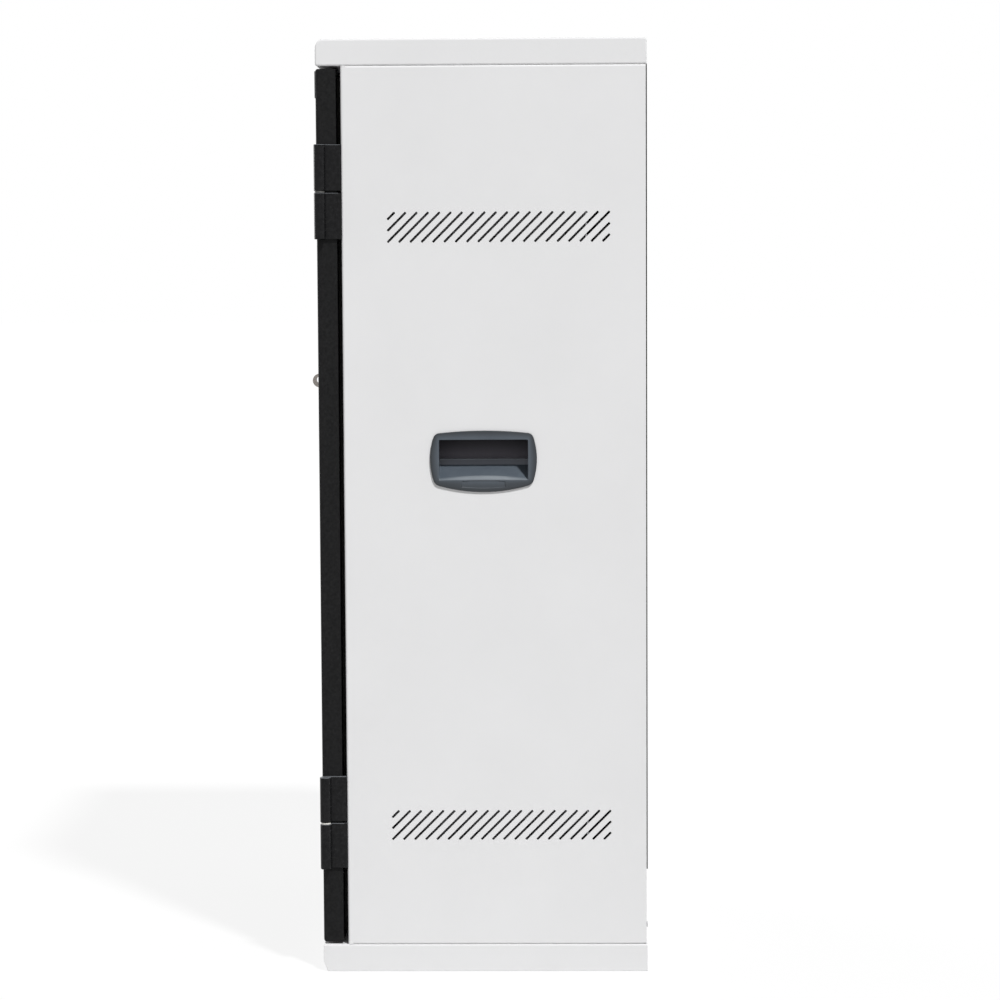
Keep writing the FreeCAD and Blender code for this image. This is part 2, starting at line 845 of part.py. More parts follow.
def switch_housing():
    half_x = switch_width / 2
    half_z = switch_height / 2
    flange = box(switch_x - half_x, switch_x + half_x, sill_face_y, rocker_face_y,
                 control_z - half_z, control_z + half_z)
    flange = flange.makeFillet(switch_flange_radius, pick_edges(flange, lambda b: b.YLength > sheet))
    body = box(switch_x - half_x + switch_wall, switch_x + half_x - switch_wall, sill_face_y - switch_depth,
               sill_face_y, control_z - half_z + switch_wall, control_z + half_z - switch_wall)
    cavity_x = rocker_width / 2 + fit_clearance
    cavity_z = rocker_half_length + rocker_end_gap
    cavity = box(switch_x - cavity_x, switch_x + cavity_x, sill_face_y - switch_cavity_depth,
                 rocker_face_y + beyond, control_z - cavity_z, control_z + cavity_z)
    bore_half = rocker_width / 2 + rocker_pin_length + rocker_pin_gap
    pivot = V(switch_x, rocker_pivot_y, control_z)
    reach = V(bore_half, 0, 0)
    bore = round_bar(rocker_pin_radius + running_clearance, pivot - reach, pivot + reach)
    return flange.fuse(body).removeSplitter().cut(cavity).cut(bore)


def main_rocker():
    """The rocker is drawn level and then tipped to the off side, where it rests."""
    pivot = V(switch_x, rocker_pivot_y, control_z)
    rise = rocker_half_length * math.tan(math.radians(rocker_tilt))
    skirt = rocker_half_length - rocker_taper
    foot = -rocker_pivot_depth - rocker_foot_drop
    outline = [(-rocker_half_length, rise), (0.0, 0.0), (rocker_half_length, rise), (skirt, -rocker_skirt),
               (rocker_foot_half, foot), (-rocker_foot_half, foot), (-skirt, -rocker_skirt)]
    points = [V(switch_x - rocker_width / 2, rocker_face_y + out, control_z + up) for up, out in outline]
    body = prism(points, V(rocker_width, 0, 0))
    reach = V(rocker_width / 2 + rocker_pin_length, 0, 0)
    rocker = body.fuse(round_bar(rocker_pin_radius, pivot - reach, pivot + reach)).removeSplitter()
    rocker.rotate(pivot, V(1, 0, 0), rocker_tilt)
    return rocker


def circuit_breaker():
    nut_y = sill_face_y + breaker_nut_thickness
    bush = bar_along_y(breaker_bush_radius, breaker_x, control_z, sill_face_y - breaker_bush_depth, nut_y)
    nut = hexagon_along_y(breaker_nut_radius, breaker_x, control_z, sill_face_y, nut_y)
    body = box(breaker_x - breaker_width / 2, breaker_x + breaker_width / 2, sill_face_y - breaker_depth,
               sill_face_y - sheet, control_z - breaker_height / 2, control_z + breaker_height / 2)
    bore_y = nut_y + breaker_button_proud - breaker_button_length - breaker_bore_gap
    bore = bar_along_y(breaker_button_radius + fit_clearance, breaker_x, control_z, bore_y, nut_y + beyond)
    return body.fuse([bush, nut]).removeSplitter().cut(bore)


def breaker_button():
    tip = sill_face_y + breaker_nut_thickness + breaker_button_proud
    button = bar_along_y(breaker_button_radius, breaker_x, control_z, tip - breaker_button_length, tip)
    return button.makeChamfer(breaker_button_chamfer, pick_edges(button, lambda b: b.YMin > tip - near))


def earth_stud():
    stud = bar_along_y(earth_stud_radius, earth_x, control_z, sill_face_y - earth_stud_length, sill_face_y)
    nut_y = sill_face_y - sheet
    nut = hexagon_along_y(earth_nut_radius, earth_x, control_z, nut_y - earth_nut_thickness, nut_y)
    return stud.fuse(nut).removeSplitter()


# Charger units, ports, power supply, terminal block and duct

def charger_rows(which):
    split = bay_count // 2
    return range(split) if which == 0 else range(split, bay_count)


def charger_unit(which):
    rows = charger_rows(which)
    z0 = port_z(rows[0]) - charger_overhang
    z1 = port_z(rows[-1]) + charger_overhang
    half = charger_width / 2
    back = charger_y + charger_depth
    tip = back + fin_height
    pitch = charger_width / (2 * fin_count - 1)
    outline = [V(half, charger_y, z0), V(half, tip, z0)]
    for fin in range(fin_count - 1):
        x = half - pitch * (2 * fin + 1)
        outline += [V(x, tip, z0), V(x, back, z0), V(x - pitch, back, z0), V(x - pitch, tip, z0)]
    outline += [V(-half, tip, z0), V(-half, charger_y, z0)]
    return prism(outline, V(0, 0, z1 - z0))


def port_block(z):
    face_y = bulkhead_y - port_block_proud
    half_x = port_block_width / 2
    half_z = port_block_height / 2
    block = box(-half_x, half_x, face_y, charger_y, z - half_z, z + half_z)
    block = block.makeChamfer(port_block_chamfer, pick_edges(block, lambda b: b.YLength > sheet))
    half_length = (port_width - port_opening) / 2
    half_tongue = port_tongue_width / 2
    for x in (-port_spacing / 2, port_spacing / 2):
        socket = slot_tool(V(x, face_y - beyond, z), half_length, port_opening, V(1, 0, 0), V(0, 0, 1),
                           V(0, port_block_proud + beyond + sheet / 2, 0))
        tongue = box(x - half_tongue, x + half_tongue, face_y + port_tongue_inset, charger_y,
                     z - port_tongue_thickness / 2, z + port_tongue_thickness / 2)
        block = block.cut(socket).fuse(tongue)
    return block.removeSplitter()


def charger_ports(which):
    return group([port_block(port_z(index)) for index in charger_rows(which)])


def power_supply():
    rear = charger_y + supply_depth
    case = box(supply_x0, supply_x1, charger_y, rear, supply_z0, supply_z0 + supply_length)
    upright = pick_edges(case, lambda b: b.ZLength > supply_length / 2 and b.YMin > rear - near)
    case = case.makeFillet(supply_edge_radius, upright)
    step = box(supply_x0 + supply_terminal_inset, supply_x1 - supply_terminal_inset,
               rear - supply_terminal_depth, rear + beyond,
               supply_z0 - beyond, supply_z0 + supply_terminal_height)
    slots = []
    for row in range(supply_slot_rows):
        centre = V((supply_x0 + supply_x1) / 2, rear - supply_slot_depth,
                   supply_z0 + supply_slot_rise + row * supply_slot_pitch)
        slots.append(slot_tool(centre, supply_slot_half_length, supply_slot_width, V(1, 0, 0), V(0, 0, 1),
                               V(0, supply_slot_depth + beyond, 0)))
    return case.cut(step).cut(group(slots))


def terminal_block():
    x1 = terminal_x0 + 2 * terminal_end + (terminal_ways - 1) * terminal_pitch
    rear = charger_y + terminal_depth
    body = box(terminal_x0, x1, charger_y, rear, terminal_z0, terminal_z0 + terminal_height)
    half = terminal_well / 2
    screw_z = terminal_z0 + terminal_screw_rise
    entry_y = charger_y + terminal_entry_front
    wells = []
    for way in range(terminal_ways):
        x = terminal_x0 + terminal_end + way * terminal_pitch
        wells.append(box(x - half, x + half, rear - terminal_well_depth, rear + beyond,
                         screw_z, screw_z + terminal_well))
        wells.append(box(x - half, x + half, entry_y, entry_y + terminal_well,
                         terminal_z0 - beyond, terminal_z0 + terminal_well))
    return body.cut(group(wells))


def wiring_duct():
    rear = charger_y + duct_depth
    duct = box(duct_x0, duct_x1, charger_y, rear, duct_z0, duct_z1)
    duct = duct.cut(box(duct_x0 + duct_wall, duct_x1 - duct_wall, charger_y + duct_wall, rear + beyond,
                        duct_z0 - beyond, duct_z1 + beyond))
    slots = []
    for row in range(int((duct_z1 - duct_z0 - duct_slot_start) / duct_pitch)):
        z = duct_z0 + duct_slot_start + row * duct_pitch
        slots.append(box(duct_x0 - beyond, duct_x1 + beyond, charger_y + duct_floor, rear + beyond,
                         z, z + duct_slot))
    return duct.cut(group(slots))


def duct_cover():
    rear = charger_y + duct_depth
    cover = box(duct_x0 - duct_wall, duct_x1 + duct_wall, rear - duct_cover_lap, rear + duct_wall,
                duct_z0, duct_z1)
    return cover.cut(box(duct_x0, duct_x1, rear - duct_cover_lap - beyond, rear,
                         duct_z0 - beyond, duct_z1 + beyond))


# Power manager behind the top rail

def power_manager():
    y0 = carcass_y + sheet
    z0 = cap_z - rail_height + sheet
    z1 = cap_z - manager_top_gap
    case = box(manager_x0, manager_x0 + manager_width, y0, y0 + manager_depth, z0, z1)
    back_edges = pick_edges(case, lambda b: b.ZLength > rail_height / 2 and b.YMin > y0 + near)
    case = case.makeFillet(manager_edge_radius, back_edges)
    button_end = carcass_y - manager_button_proud + manager_button_length
    well_end = button_end + manager_button_travel + fit_clearance
    well_radius = manager_button_radius + fit_clearance
    return case.cut(bar_along_y(well_radius, manager_button_x, manager_control_z, y0 - beyond, well_end))


def manager_button():
    y0 = carcass_y - manager_button_proud
    button = bar_along_y(manager_button_radius, manager_button_x, manager_control_z, y0,
                         y0 + manager_button_length)
    return button.makeChamfer(manager_button_chamfer, pick_edges(button, lambda b: b.YMax < y0 + near))


def status_lamps():
    y0 = carcass_y - lamp_proud
    lamps = []
    for x in lamp_places:
        lamp = bar_along_y(lamp_radius, x, manager_control_z, y0, carcass_y + sheet)
        lamps.append(lamp.makeChamfer(lamp_chamfer, pick_edges(lamp, lambda b: b.YMax < y0 + near)))
    return group(lamps)


# Hinges: each has a door half above and a frame half below, joined by a pin

def hinge_axis(z):
    return V(hinge_x, hinge_y, z)


def hinge_knuckle(z0, z1):
    knuckle = round_bar(knuckle_radius, hinge_axis(z0), hinge_axis(z1))
    return knuckle.makeChamfer(knuckle_edge_chamfer, pick_edges(knuckle, lambda b: b.ZLength < near))


def hinge_plate(x0, y1, z0, z1):
    """The flat plate behind the knuckle, with its outer upper and lower edges broken."""
    plate = box(x0, half_width, hinge_y, y1, z0, z1)
    ends = pick_edges(plate, lambda b: b.XMin > half_width - near and b.ZLength < near)
    return plate.makeChamfer(knuckle_edge_chamfer, ends)


def door_leaf(centre_z):
    z0 = centre_z + hinge_washer / 2
    z1 = centre_z + hinge_half_height
    knuckle = hinge_knuckle(z0, z1)
    leaf = hinge_plate(door_x1, carcass_y - seal_gap, z0, z1)
    bore_top = hinge_axis(z1 - hinge_pin_cap)
    bore = round_bar(hinge_pin_radius + running_clearance, hinge_axis(z0 - beyond), bore_top)
    return knuckle.fuse(leaf).removeSplitter().cut(bore)


def frame_leaf(centre_z):
    z0 = centre_z - hinge_half_height
    z1 = centre_z - hinge_washer / 2
    knuckle = hinge_knuckle(z0, z1)
    leaf = hinge_plate(door_x1 + leaf_clearance, carcass_y, z0, z1)
    foot_front_y = carcass_y - door_side_gap
    foot = box(half_width - leaf_foot, half_width, foot_front_y, carcass_y, z0, z1)
    bore = round_bar(hinge_pin_radius, hinge_axis(z0 + hinge_pin_cap), hinge_axis(z1 + beyond))
    return knuckle.fuse([leaf, foot]).removeSplitter().cut(bore)


def hinge_pin(centre_z):
    z0 = centre_z - hinge_half_height + hinge_pin_cap
    z1 = centre_z + hinge_half_height - hinge_pin_cap - hinge_pin_end_gap
    pin = round_bar(hinge_pin_radius, hinge_axis(z0), hinge_axis(z1))
    return pin.makeChamfer(hinge_pin_chamfer, pick_edges(pin, lambda b: b.ZMin > z1 - near))


def hinge_washer_ring(centre_z):
    z0 = centre_z - hinge_washer / 2
    z1 = centre_z + hinge_washer / 2 - washer_running_gap
    ring = round_bar(knuckle_radius, hinge_axis(z0), hinge_axis(z1))
    return ring.cut(round_bar(hinge_pin_radius + running_clearance, hinge_axis(z0 - beyond),
                              hinge_axis(z1 + beyond)))


# Door

def door_skin():
    outer = box(door_x0, door_x1, front_y, door_rear_y, door_z0, door_z1)
    outer = outer.makeFillet(door_edge_radius, pick_edges(outer, lambda b: b.YMax < front_y + near))
    skin = outer.cut(box(door_x0 + sheet, door_x1 - sheet, front_y + sheet, door_rear_y - sheet,
                         door_z0 + sheet, door_z1 - sheet))
    skin = skin.cut(box(door_x0 + door_return, door_x1 - door_return, door_rear_y - 2 * sheet,
                        door_rear_y + beyond, door_z0 + door_return, door_z1 - door_return))
    skin = skin.cut(bar_along_y(lock_barrel_radius + lock_barrel_clearance, lock_x, lock_z,
                                front_y - beyond, front_y + 2 * sheet))
    skin = skin.cut(rod_hole(door_z1 - 2 * sheet, door_z1 + beyond, 1, slide_clearance))
    return skin.cut(rod_hole(door_z0 - beyond, door_z0 + 2 * sheet, -1, slide_clearance))


def header_plate():
    z1 = door_z1 - header_drop
    face_y = front_y - header_proud
    plate = box(door_x0 + door_edge_radius, door_x1 - door_edge_radius, face_y, front_y,
                z1 - header_height, z1)
    return plate.makeFillet(header_edge_radius, pick_edges(plate, lambda b: b.YMax < face_y + near))


def door_stiffener(x):
    y0 = front_y + sheet
    y1 = y0 + stiffener_depth
    half = stiffener_width / 2
    toe = half + stiffener_foot
    t = stiffener_sheet
    z0 = door_z0 + stiffener_end
    z1 = door_z1 - stiffener_end
    outline = [(-toe, y0), (-half + t, y0), (-half + t, y1 - t), (half - t, y1 - t), (half - t, y0),
               (toe, y0), (toe, y0 + t), (half, y0 + t), (half, y1), (-half, y1), (-half, y0 + t),
               (-toe, y0 + t)]
    return prism([V(x + a, y, z0) for a, y in outline], V(0, 0, z1 - z0))


def door_stiffeners():
    places = (door_x0 + stiffener_lock_inset, door_x1 - stiffener_hinge_inset)
    return group([door_stiffener(x) for x in places])


def door_seal():
    y0 = door_rear_y
    y1 = carcass_y - seal_gap
    x = half_width - seal_inset
    z0 = base_height + seal_top_inset
    z1 = cap_z - seal_top_inset
    w = seal_width
    ring = box(-x, x, y0, y1, z0, z1)
    return ring.cut(box(-x + w, x - w, y0 - beyond, y1 + beyond, z0 + w, z1 - w))


# Lock: key, plug, pinion and two rack rods

def lock_bar(radius, y0, y1):
    return bar_along_y(radius, lock_x, lock_z, y0, y1)


def lock_block(half_x, half_z, y0, y1):
    return box(lock_x - half_x, lock_x + half_x, y0, y1, lock_z - half_z, lock_z + half_z)


def lock_housing():
    flange_y = front_y - lock_flange_proud
    flange = lock_bar(lock_flange_radius, flange_y, front_y)
    flange = flange.makeChamfer(lock_flange_chamfer, pick_edges(flange, lambda b: b.YMax < flange_y + near))
    barrel = lock_bar(lock_barrel_radius, front_y, case_front_y)
    bore = lock_bar(plug_radius + running_clearance, flange_y - beyond, case_front_y + beyond)
    return flange.fuse(barrel).removeSplitter().cut(bore)


def lock_plug():
    shoulder = rod_y - pinion_width / 2 - pinion_side_gap
    tail = rod_y + pinion_width / 2 + pinion_side_gap
    plug = lock_bar(plug_radius, plug_face_y, shoulder)
    plug = plug.makeChamfer(plug_chamfer, pick_edges(plug, lambda b: b.YMax < plug_face_y + near))
    square = lock_block(plug_square / 2, plug_square / 2, shoulder, tail)
    pivot = lock_bar(plug_tail_radius, tail, case_rear_y)
    keyway = lock_block(key_thickness / 2, key_blade_height / 2, plug_face_y - beyond,
                        plug_face_y + keyway_depth)
    return plug.fuse([square, pivot]).removeSplitter().cut(keyway)


def key():
    half = key_thickness / 2
    bow_y = front_y - key_reach + key_bow_radius
    blade = lock_block(half, key_blade_height / 2, bow_y, plug_face_y + keyway_depth)
    collar = lock_block(half, key_collar_height / 2, bow_y, plug_face_y - key_collar_gap)
    bow = round_bar(key_bow_radius, V(lock_x - half, bow_y, lock_z), V(lock_x + half, bow_y, lock_z))
    hole_y = bow_y + key_hole_back
    hole_z = lock_z + key_hole_rise
    hole = round_bar(key_hole_radius, V(lock_x - half - beyond, hole_y, hole_z),
                     V(lock_x + half + beyond, hole_y, hole_z))
    return blade.fuse([collar, bow]).removeSplitter().cut(hole)


def involute(base, radius):
    """The polar angle of an involute of the base circle at a radius."""
    roll = math.sqrt(max(0.0, (radius / base) ** 2 - 1))
    return roll - math.atan(roll)


def lock_pinion():
    base = pitch_radius * math.cos(math.radians(pressure_angle))
    tip = pitch_radius + tooth_addendum
    root = tooth_reach - tooth_root_gap
    half_tooth = tooth_half / pitch_radius + involute(base, pitch_radius)
    flank = [(root, half_tooth)]
    for step in range(flank_steps + 1):
        radius = base + (tip - base) * step / flank_steps
        flank.append((radius, half_tooth - involute(base, radius)))
    y0 = rod_y - pinion_width / 2
    points = []
    for tooth in range(pinion_teeth):
        centre = 2 * math.pi * tooth / pinion_teeth
        sides = [(radius, centre - angle) for radius, angle in flank]
        sides += [(radius, centre + angle) for radius, angle in reversed(flank)]
        for radius, turn in sides:
            points.append(V(lock_x + radius * math.cos(turn), y0, lock_z + radius * math.sin(turn)))
    gear = prism(points, V(0, pinion_width, 0))
    return gear.cut(lock_block(plug_square / 2, plug_square / 2, y0 - beyond, y0 + pinion_width + beyond))


def rack_rod(reach):
    """A rod to the right of the pinion that rises to reach above the lock's axis."""
    slope = math.tan(math.radians(pressure_angle))
    tip_half = tooth_half - tooth_addendum * slope
    root_half = tooth_half + (tooth_addendum + tooth_root_gap) * slope
    back = rod_root + rod_width
    low = -(rack_teeth_below + rack_end_share) * tooth_pitch
    shoulder = reach - rod_tip_height_chamfer
    outline = [(rod_root, low)]
    for tooth in range(-rack_teeth_below, rack_teeth_above):
        z = (tooth + 0.5) * tooth_pitch
        outline += [(rod_root, z - root_half), (tooth_reach, z - tip_half), (tooth_reach, z + tip_half),
                    (rod_root, z + root_half)]
    outline += [(rod_root, shoulder), (rod_root + rod_tip_width_chamfer, reach),
                (back - rod_tip_width_chamfer, reach), (back, shoulder), (back, low)]
    y0 = rod_y - rod_thickness / 2
    return prism([V(lock_x + a, y0, lock_z + b) for a, b in outline], V(0, rod_thickness, 0))


def upper_rod():
    return rack_rod(door_z1 - rod_retracted_gap - lock_z)


def lower_rod():
    rod = rack_rod(lock_z - door_z0 - rod_retracted_gap)
    rod.rotate(V(lock_x, 0, lock_z), V(0, 1, 0), 180)
    return rod


def lock_case():
    half_x = rod_root + rod_width + slide_clearance
    half_z = case_half_height
    outer = lock_block(half_x + case_wall, half_z + case_wall, case_front_y, case_rear_y)
    case = outer.cut(lock_block(half_x, half_z, case_front_y + case_wall, case_rear_y - case_wall))
    outside = half_z + 2 * case_wall
    case = case.cut(rod_hole(lock_z, lock_z + outside, 1, slide_clearance))
    case = case.cut(rod_hole(lock_z - outside, lock_z, -1, slide_clearance))
    case = case.cut(lock_bar(plug_radius + running_clearance, case_front_y - beyond, rod_y))
    return case.cut(lock_bar(plug_tail_radius + running_clearance, rod_y, case_rear_y + beyond))


def rod_guide(z, side):
    x = lock_x + side * (rod_root + rod_width / 2)
    half = rod_width / 2 + guide_wall
    y1 = rod_y + rod_thickness / 2 + guide_rear_wall
    block = box(x - half, x + half, front_y + sheet, y1, z - guide_length / 2, z + guide_length / 2)
    return block.cut(rod_hole(z - guide_length, z + guide_length, side, slide_clearance))


def rod_guides():
    high = door_z1 - guide_end_inset
    low = door_z0 + guide_end_inset
    return group([rod_guide(high, 1), rod_guide((high + lock_z) / 2, 1),
                  rod_guide((low + lock_z) / 2, -1), rod_guide(low, -1)])


def rod_socket(z_face, side):
    """A plastic bush in the cap's or base's plate, with a thin collar on the door's side."""
    deep = z_face + side * (sheet + socket_depth)
    collar_z = z_face - side * socket_collar_height
    body = rod_hole(min(z_face, deep), max(z_face, deep), side, socket_wall)
    collar = rod_hole(min(z_face, collar_z), max(z_face, collar_z), side, socket_wall + socket_collar)
    bush = body.fuse(collar).removeSplitter()
    low = min(deep, collar_z) - beyond
    high = max(deep, collar_z) + beyond
    return bush.cut(rod_hole(low, high, side, slide_clearance))


def rod_sockets():
    return group([rod_socket(cap_z, 1), rod_socket(base_height, -1)])


# Write every sub-part

save("top_cap", top_cap())
save("base_pan", base_pan())
panel = side_panel()
save("side_panel_hinge_side", panel)
save("side_panel_lock_side", mirror_x(panel))
save("front_top_rail", front_top_rail())
save("front_bottom_rail", front_bottom_rail())
rack = shelf_rack()
save("shelf_rack_hinge_side", rack)
save("shelf_rack_lock_side", mirror_x(rack))
for bay in range(bay_count):
    save("device_shelf_" + str(bay + 1), device_shelf(bay))
save("bulkhead", bulkhead())
save("bulkhead_screws", group(bulkhead_screws()))
save("rear_panel", rear_panel())
save("rear_screws", group(rear_screws()))
save("rear_sill", rear_sill())
save("mains_inlet", mains_inlet())
save("main_switch_housing", switch_housing())
save("main_switch_rocker", main_rocker())
save("circuit_breaker", circuit_breaker())
save("breaker_button", breaker_button())
save("earth_stud", earth_stud())
for which, name in enumerate(("lower", "upper")):
    save("charger_unit_" + name, charger_unit(which))
    save("charger_ports_" + name, charger_ports(which))
save("power_supply", power_supply())
save("terminal_block", terminal_block())
save("wiring_duct", wiring_duct())
save("wiring_duct_cover", duct_cover())
save("power_manager", power_manager())
save("manager_button", manager_button())
save("status_lamps", status_lamps())
handle = carry_handle()
save("carry_handle_hinge_side", handle)
save("carry_handle_lock_side", mirror_x(handle))
save("hinge_door_leaves", group([door_leaf(z) for z in hinge_heights]))
save("hinge_frame_leaves", group([frame_leaf(z) for z in hinge_heights]))
save("hinge_pins", group([hinge_pin(z) for z in hinge_heights]))
save("hinge_washers", group([hinge_washer_ring(z) for z in hinge_heights]))
save("door_skin", door_skin())
save("door_header_plate", header_plate())
save("door_stiffeners", door_stiffeners())
save("door_seal", door_seal())
save("lock_housing", lock_housing())
save("lock_case", lock_case())
save("lock_plug", lock_plug())
save("lock_pinion", lock_pinion())
save("key", key())
save("lock_rod_upper", upper_rod())
save("lock_rod_lower", lower_rod())
save("lock_rod_guides", rod_guides())
save("lock_rod_sockets", rod_sockets())
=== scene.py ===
import json
import math
import bmesh
import bpy
from mathutils import Matrix, Vector


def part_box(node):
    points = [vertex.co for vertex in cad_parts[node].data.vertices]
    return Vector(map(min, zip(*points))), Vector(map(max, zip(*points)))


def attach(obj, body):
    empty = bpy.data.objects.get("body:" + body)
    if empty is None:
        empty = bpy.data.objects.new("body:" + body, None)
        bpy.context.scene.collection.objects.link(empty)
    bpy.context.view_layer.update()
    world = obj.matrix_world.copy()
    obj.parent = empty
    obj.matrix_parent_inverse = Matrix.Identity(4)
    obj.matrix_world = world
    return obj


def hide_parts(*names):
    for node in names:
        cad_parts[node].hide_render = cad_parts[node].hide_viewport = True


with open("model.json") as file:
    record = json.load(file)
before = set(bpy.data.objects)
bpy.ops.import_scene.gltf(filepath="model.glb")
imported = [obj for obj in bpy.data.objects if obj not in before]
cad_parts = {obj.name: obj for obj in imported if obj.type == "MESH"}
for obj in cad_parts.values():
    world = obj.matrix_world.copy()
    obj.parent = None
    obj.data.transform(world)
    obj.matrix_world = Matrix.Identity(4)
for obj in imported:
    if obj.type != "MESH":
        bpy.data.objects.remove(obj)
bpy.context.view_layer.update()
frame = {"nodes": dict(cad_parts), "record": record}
mm = 0.001
mergeDistance = 0.002 * mm
nearly = 0.01                 # millimetres: less than this apart counts as level
nodes = frame["nodes"]
nodeBody = {node: body for body, names in frame["record"]["behaviour"]["bodies"].items() for node in names}
nodeSlot = {part["node"]: part["material_slot"] for part in frame["record"]["subparts"]}
print("frame loaded:", len(nodes), "nodes")


# Camera, at the photograph's place and angle

cameraView = {
    "distance": 3.0203,       # from the side panel that faces the camera
    "alongDepth": 0.0762,     # behind the middle of the cabinet's depth
    "height": 0.7543,
    "turn": 0.01924,          # towards the door, in radians
    "tilt": -0.08023,
    "roll": 0.00527,
    "focalPixels": 2838.9,
    "imagePixels": 1000.0,
    "sensor": 36.0,
}


def placeCamera(view):
    lens = bpy.data.cameras.new("photoCamera")
    lens.sensor_width = view["sensor"]
    lens.lens = view["focalPixels"] * view["sensor"] / view["imagePixels"]
    camera = bpy.data.objects.new("photoCamera", lens)
    bpy.context.scene.collection.objects.link(camera)
    forward = Vector((-1.0, 0.0, 0.0))
    right = Vector((0.0, 1.0, 0.0))
    up = Vector((0.0, 0.0, 1.0))
    turn = Matrix.Rotation(view["turn"], 3, up)
    forward, right = turn @ forward, turn @ right
    tilt = Matrix.Rotation(view["tilt"], 3, right)
    forward, up = tilt @ forward, tilt @ up
    roll = Matrix.Rotation(view["roll"], 3, forward)
    right, up = roll @ right, roll @ up
    facing = Matrix((right, up, -forward)).transposed().to_4x4()
    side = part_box("side_panel_hinge_side")[1].x
    place = Vector((side + view["distance"], view["alongDepth"], view["height"]))
    camera.matrix_world = Matrix.Translation(place) @ facing
    bpy.context.scene.camera = camera


# Lamps, world and floor

studio = {
    "worldLight": 0.3,
    "keyFrom": (0.52, 0.345, 0.78),   # both lamps are suns, and these point to where they stand
    "keyLevel": 3.16,
    "keySoftness": 0.08,
    "fillFrom": (-0.6, -0.78, 0.2),
    "fillLevel": 1.4,
    "fillSoftness": 0.6,
    "floorSize": 40.0,
    "floorColour": 0.6,
    "floorShare": 0.2,        # how much of the lit floor the camera sees, so that its shadow is faint
    "floorGlow": 0.87,
}


def addSun(name, towards, level, softness):
    lamp = bpy.data.lights.new(name, "SUN")
    lamp.energy = level
    lamp.angle = softness
    holder = bpy.data.objects.new(name, lamp)
    bpy.context.scene.collection.objects.link(holder)
    holder.rotation_euler = Vector(towards).to_track_quat("Z", "Y").to_euler()


def backgroundRay(tree):
    # 1 on camera, glossy and transmission rays, which see the white background
    path = tree.nodes.new("ShaderNodeLightPath")
    level = path.outputs["Is Camera Ray"]
    for name in ("Is Glossy Ray", "Is Transmission Ray"):
        either = tree.nodes.new("ShaderNodeMath")
        either.operation = "MAXIMUM"
        tree.links.new(level, either.inputs[0])
        tree.links.new(path.outputs[name], either.inputs[1])
        level = either.outputs[0]
    return level


def makeWorld(setup):
    world = bpy.data.worlds.new("studioWorld")
    bpy.context.scene.world = world
    world.use_nodes = True
    tree = world.node_tree
    tree.nodes.clear()
    out = tree.nodes.new("ShaderNodeOutputWorld")
    mix = tree.nodes.new("ShaderNodeMixShader")
    tree.links.new(backgroundRay(tree), mix.inputs[0])
    for socket, level in ((1, setup["worldLight"]), (2, 1.0)):
        light = tree.nodes.new("ShaderNodeBackground")
        light.inputs["Color"].default_value = (1.0, 1.0, 1.0, 1.0)
        light.inputs["Strength"].default_value = level
        tree.links.new(light.outputs[0], mix.inputs[socket])
    tree.links.new(mix.outputs[0], out.inputs[0])


def addDiffuse(tree, level):
    diffuse = tree.nodes.new("ShaderNodeBsdfDiffuse")
    diffuse.inputs["Color"].default_value = (level, level, level, 1.0)
    return diffuse.outputs[0]


def makeFloor(setup):
    shape = bmesh.new()
    bmesh.ops.create_grid(shape, x_segments=1, y_segments=1, size=setup["floorSize"])
    mesh = bpy.data.meshes.new("studioFloor")
    shape.to_mesh(mesh)
    shape.free()
    floor = bpy.data.objects.new("studioFloor", mesh)
    bpy.context.scene.collection.objects.link(floor)
    paint = bpy.data.materials.new("floorPaint")
    paint.use_nodes = True
    tree = paint.node_tree
    tree.nodes.clear()
    out = tree.nodes.new("ShaderNodeOutputMaterial")
    lit = addDiffuse(tree, setup["floorColour"])
    faint = addDiffuse(tree, setup["floorColour"] * setup["floorShare"])
    glow = tree.nodes.new("ShaderNodeEmission")
    glow.inputs["Strength"].default_value = setup["floorGlow"]
    seen = tree.nodes.new("ShaderNodeAddShader")
    chosen = tree.nodes.new("ShaderNodeMixShader")
    tree.links.new(faint, seen.inputs[0])
    tree.links.new(glow.outputs[0], seen.inputs[1])
    tree.links.new(backgroundRay(tree), chosen.inputs[0])
    tree.links.new(lit, chosen.inputs[1])
    tree.links.new(seen.outputs[0], chosen.inputs[2])
    tree.links.new(chosen.outputs[0], out.inputs[0])
    mesh.materials.append(paint)


bpy.context.scene.view_settings.view_transform = "Standard"
placeCamera(cameraView)
addSun("keyLamp", studio["keyFrom"], studio["keyLevel"], studio["keySoftness"])
addSun("fillLamp", studio["fillFrom"], studio["fillLevel"], studio["fillSoftness"])
makeWorld(studio)
makeFloor(studio)
print("camera, lamps, world and floor made")


# Surface effects that several finishes share

def startGroup(name, inputs, outputs):
    group = bpy.data.node_groups.new(name, "ShaderNodeTree")
    for label, default in inputs:
        socket = group.interface.new_socket(label, in_out="INPUT", socket_type="NodeSocketFloat")
        socket.default_value = default
    for label, kind in outputs:
        group.interface.new_socket(label, in_out="OUTPUT", socket_type=kind)
    entry = group.nodes.new("NodeGroupInput")
    leave = group.nodes.new("NodeGroupOutput")
    return group, entry.outputs, leave.inputs


def objectPlace(group):
    return group.nodes.new("ShaderNodeTexCoord").outputs["Object"]


def addNoise(group, place, scale, detail=2.0, roughness=0.5):
    noise = group.nodes.new("ShaderNodeTexNoise")
    noise.inputs["Detail"].default_value = detail
    noise.inputs["Roughness"].default_value = roughness
    group.links.new(place, noise.inputs["Vector"])
    group.links.new(scale, noise.inputs["Scale"])
    return noise.outputs["Fac"]


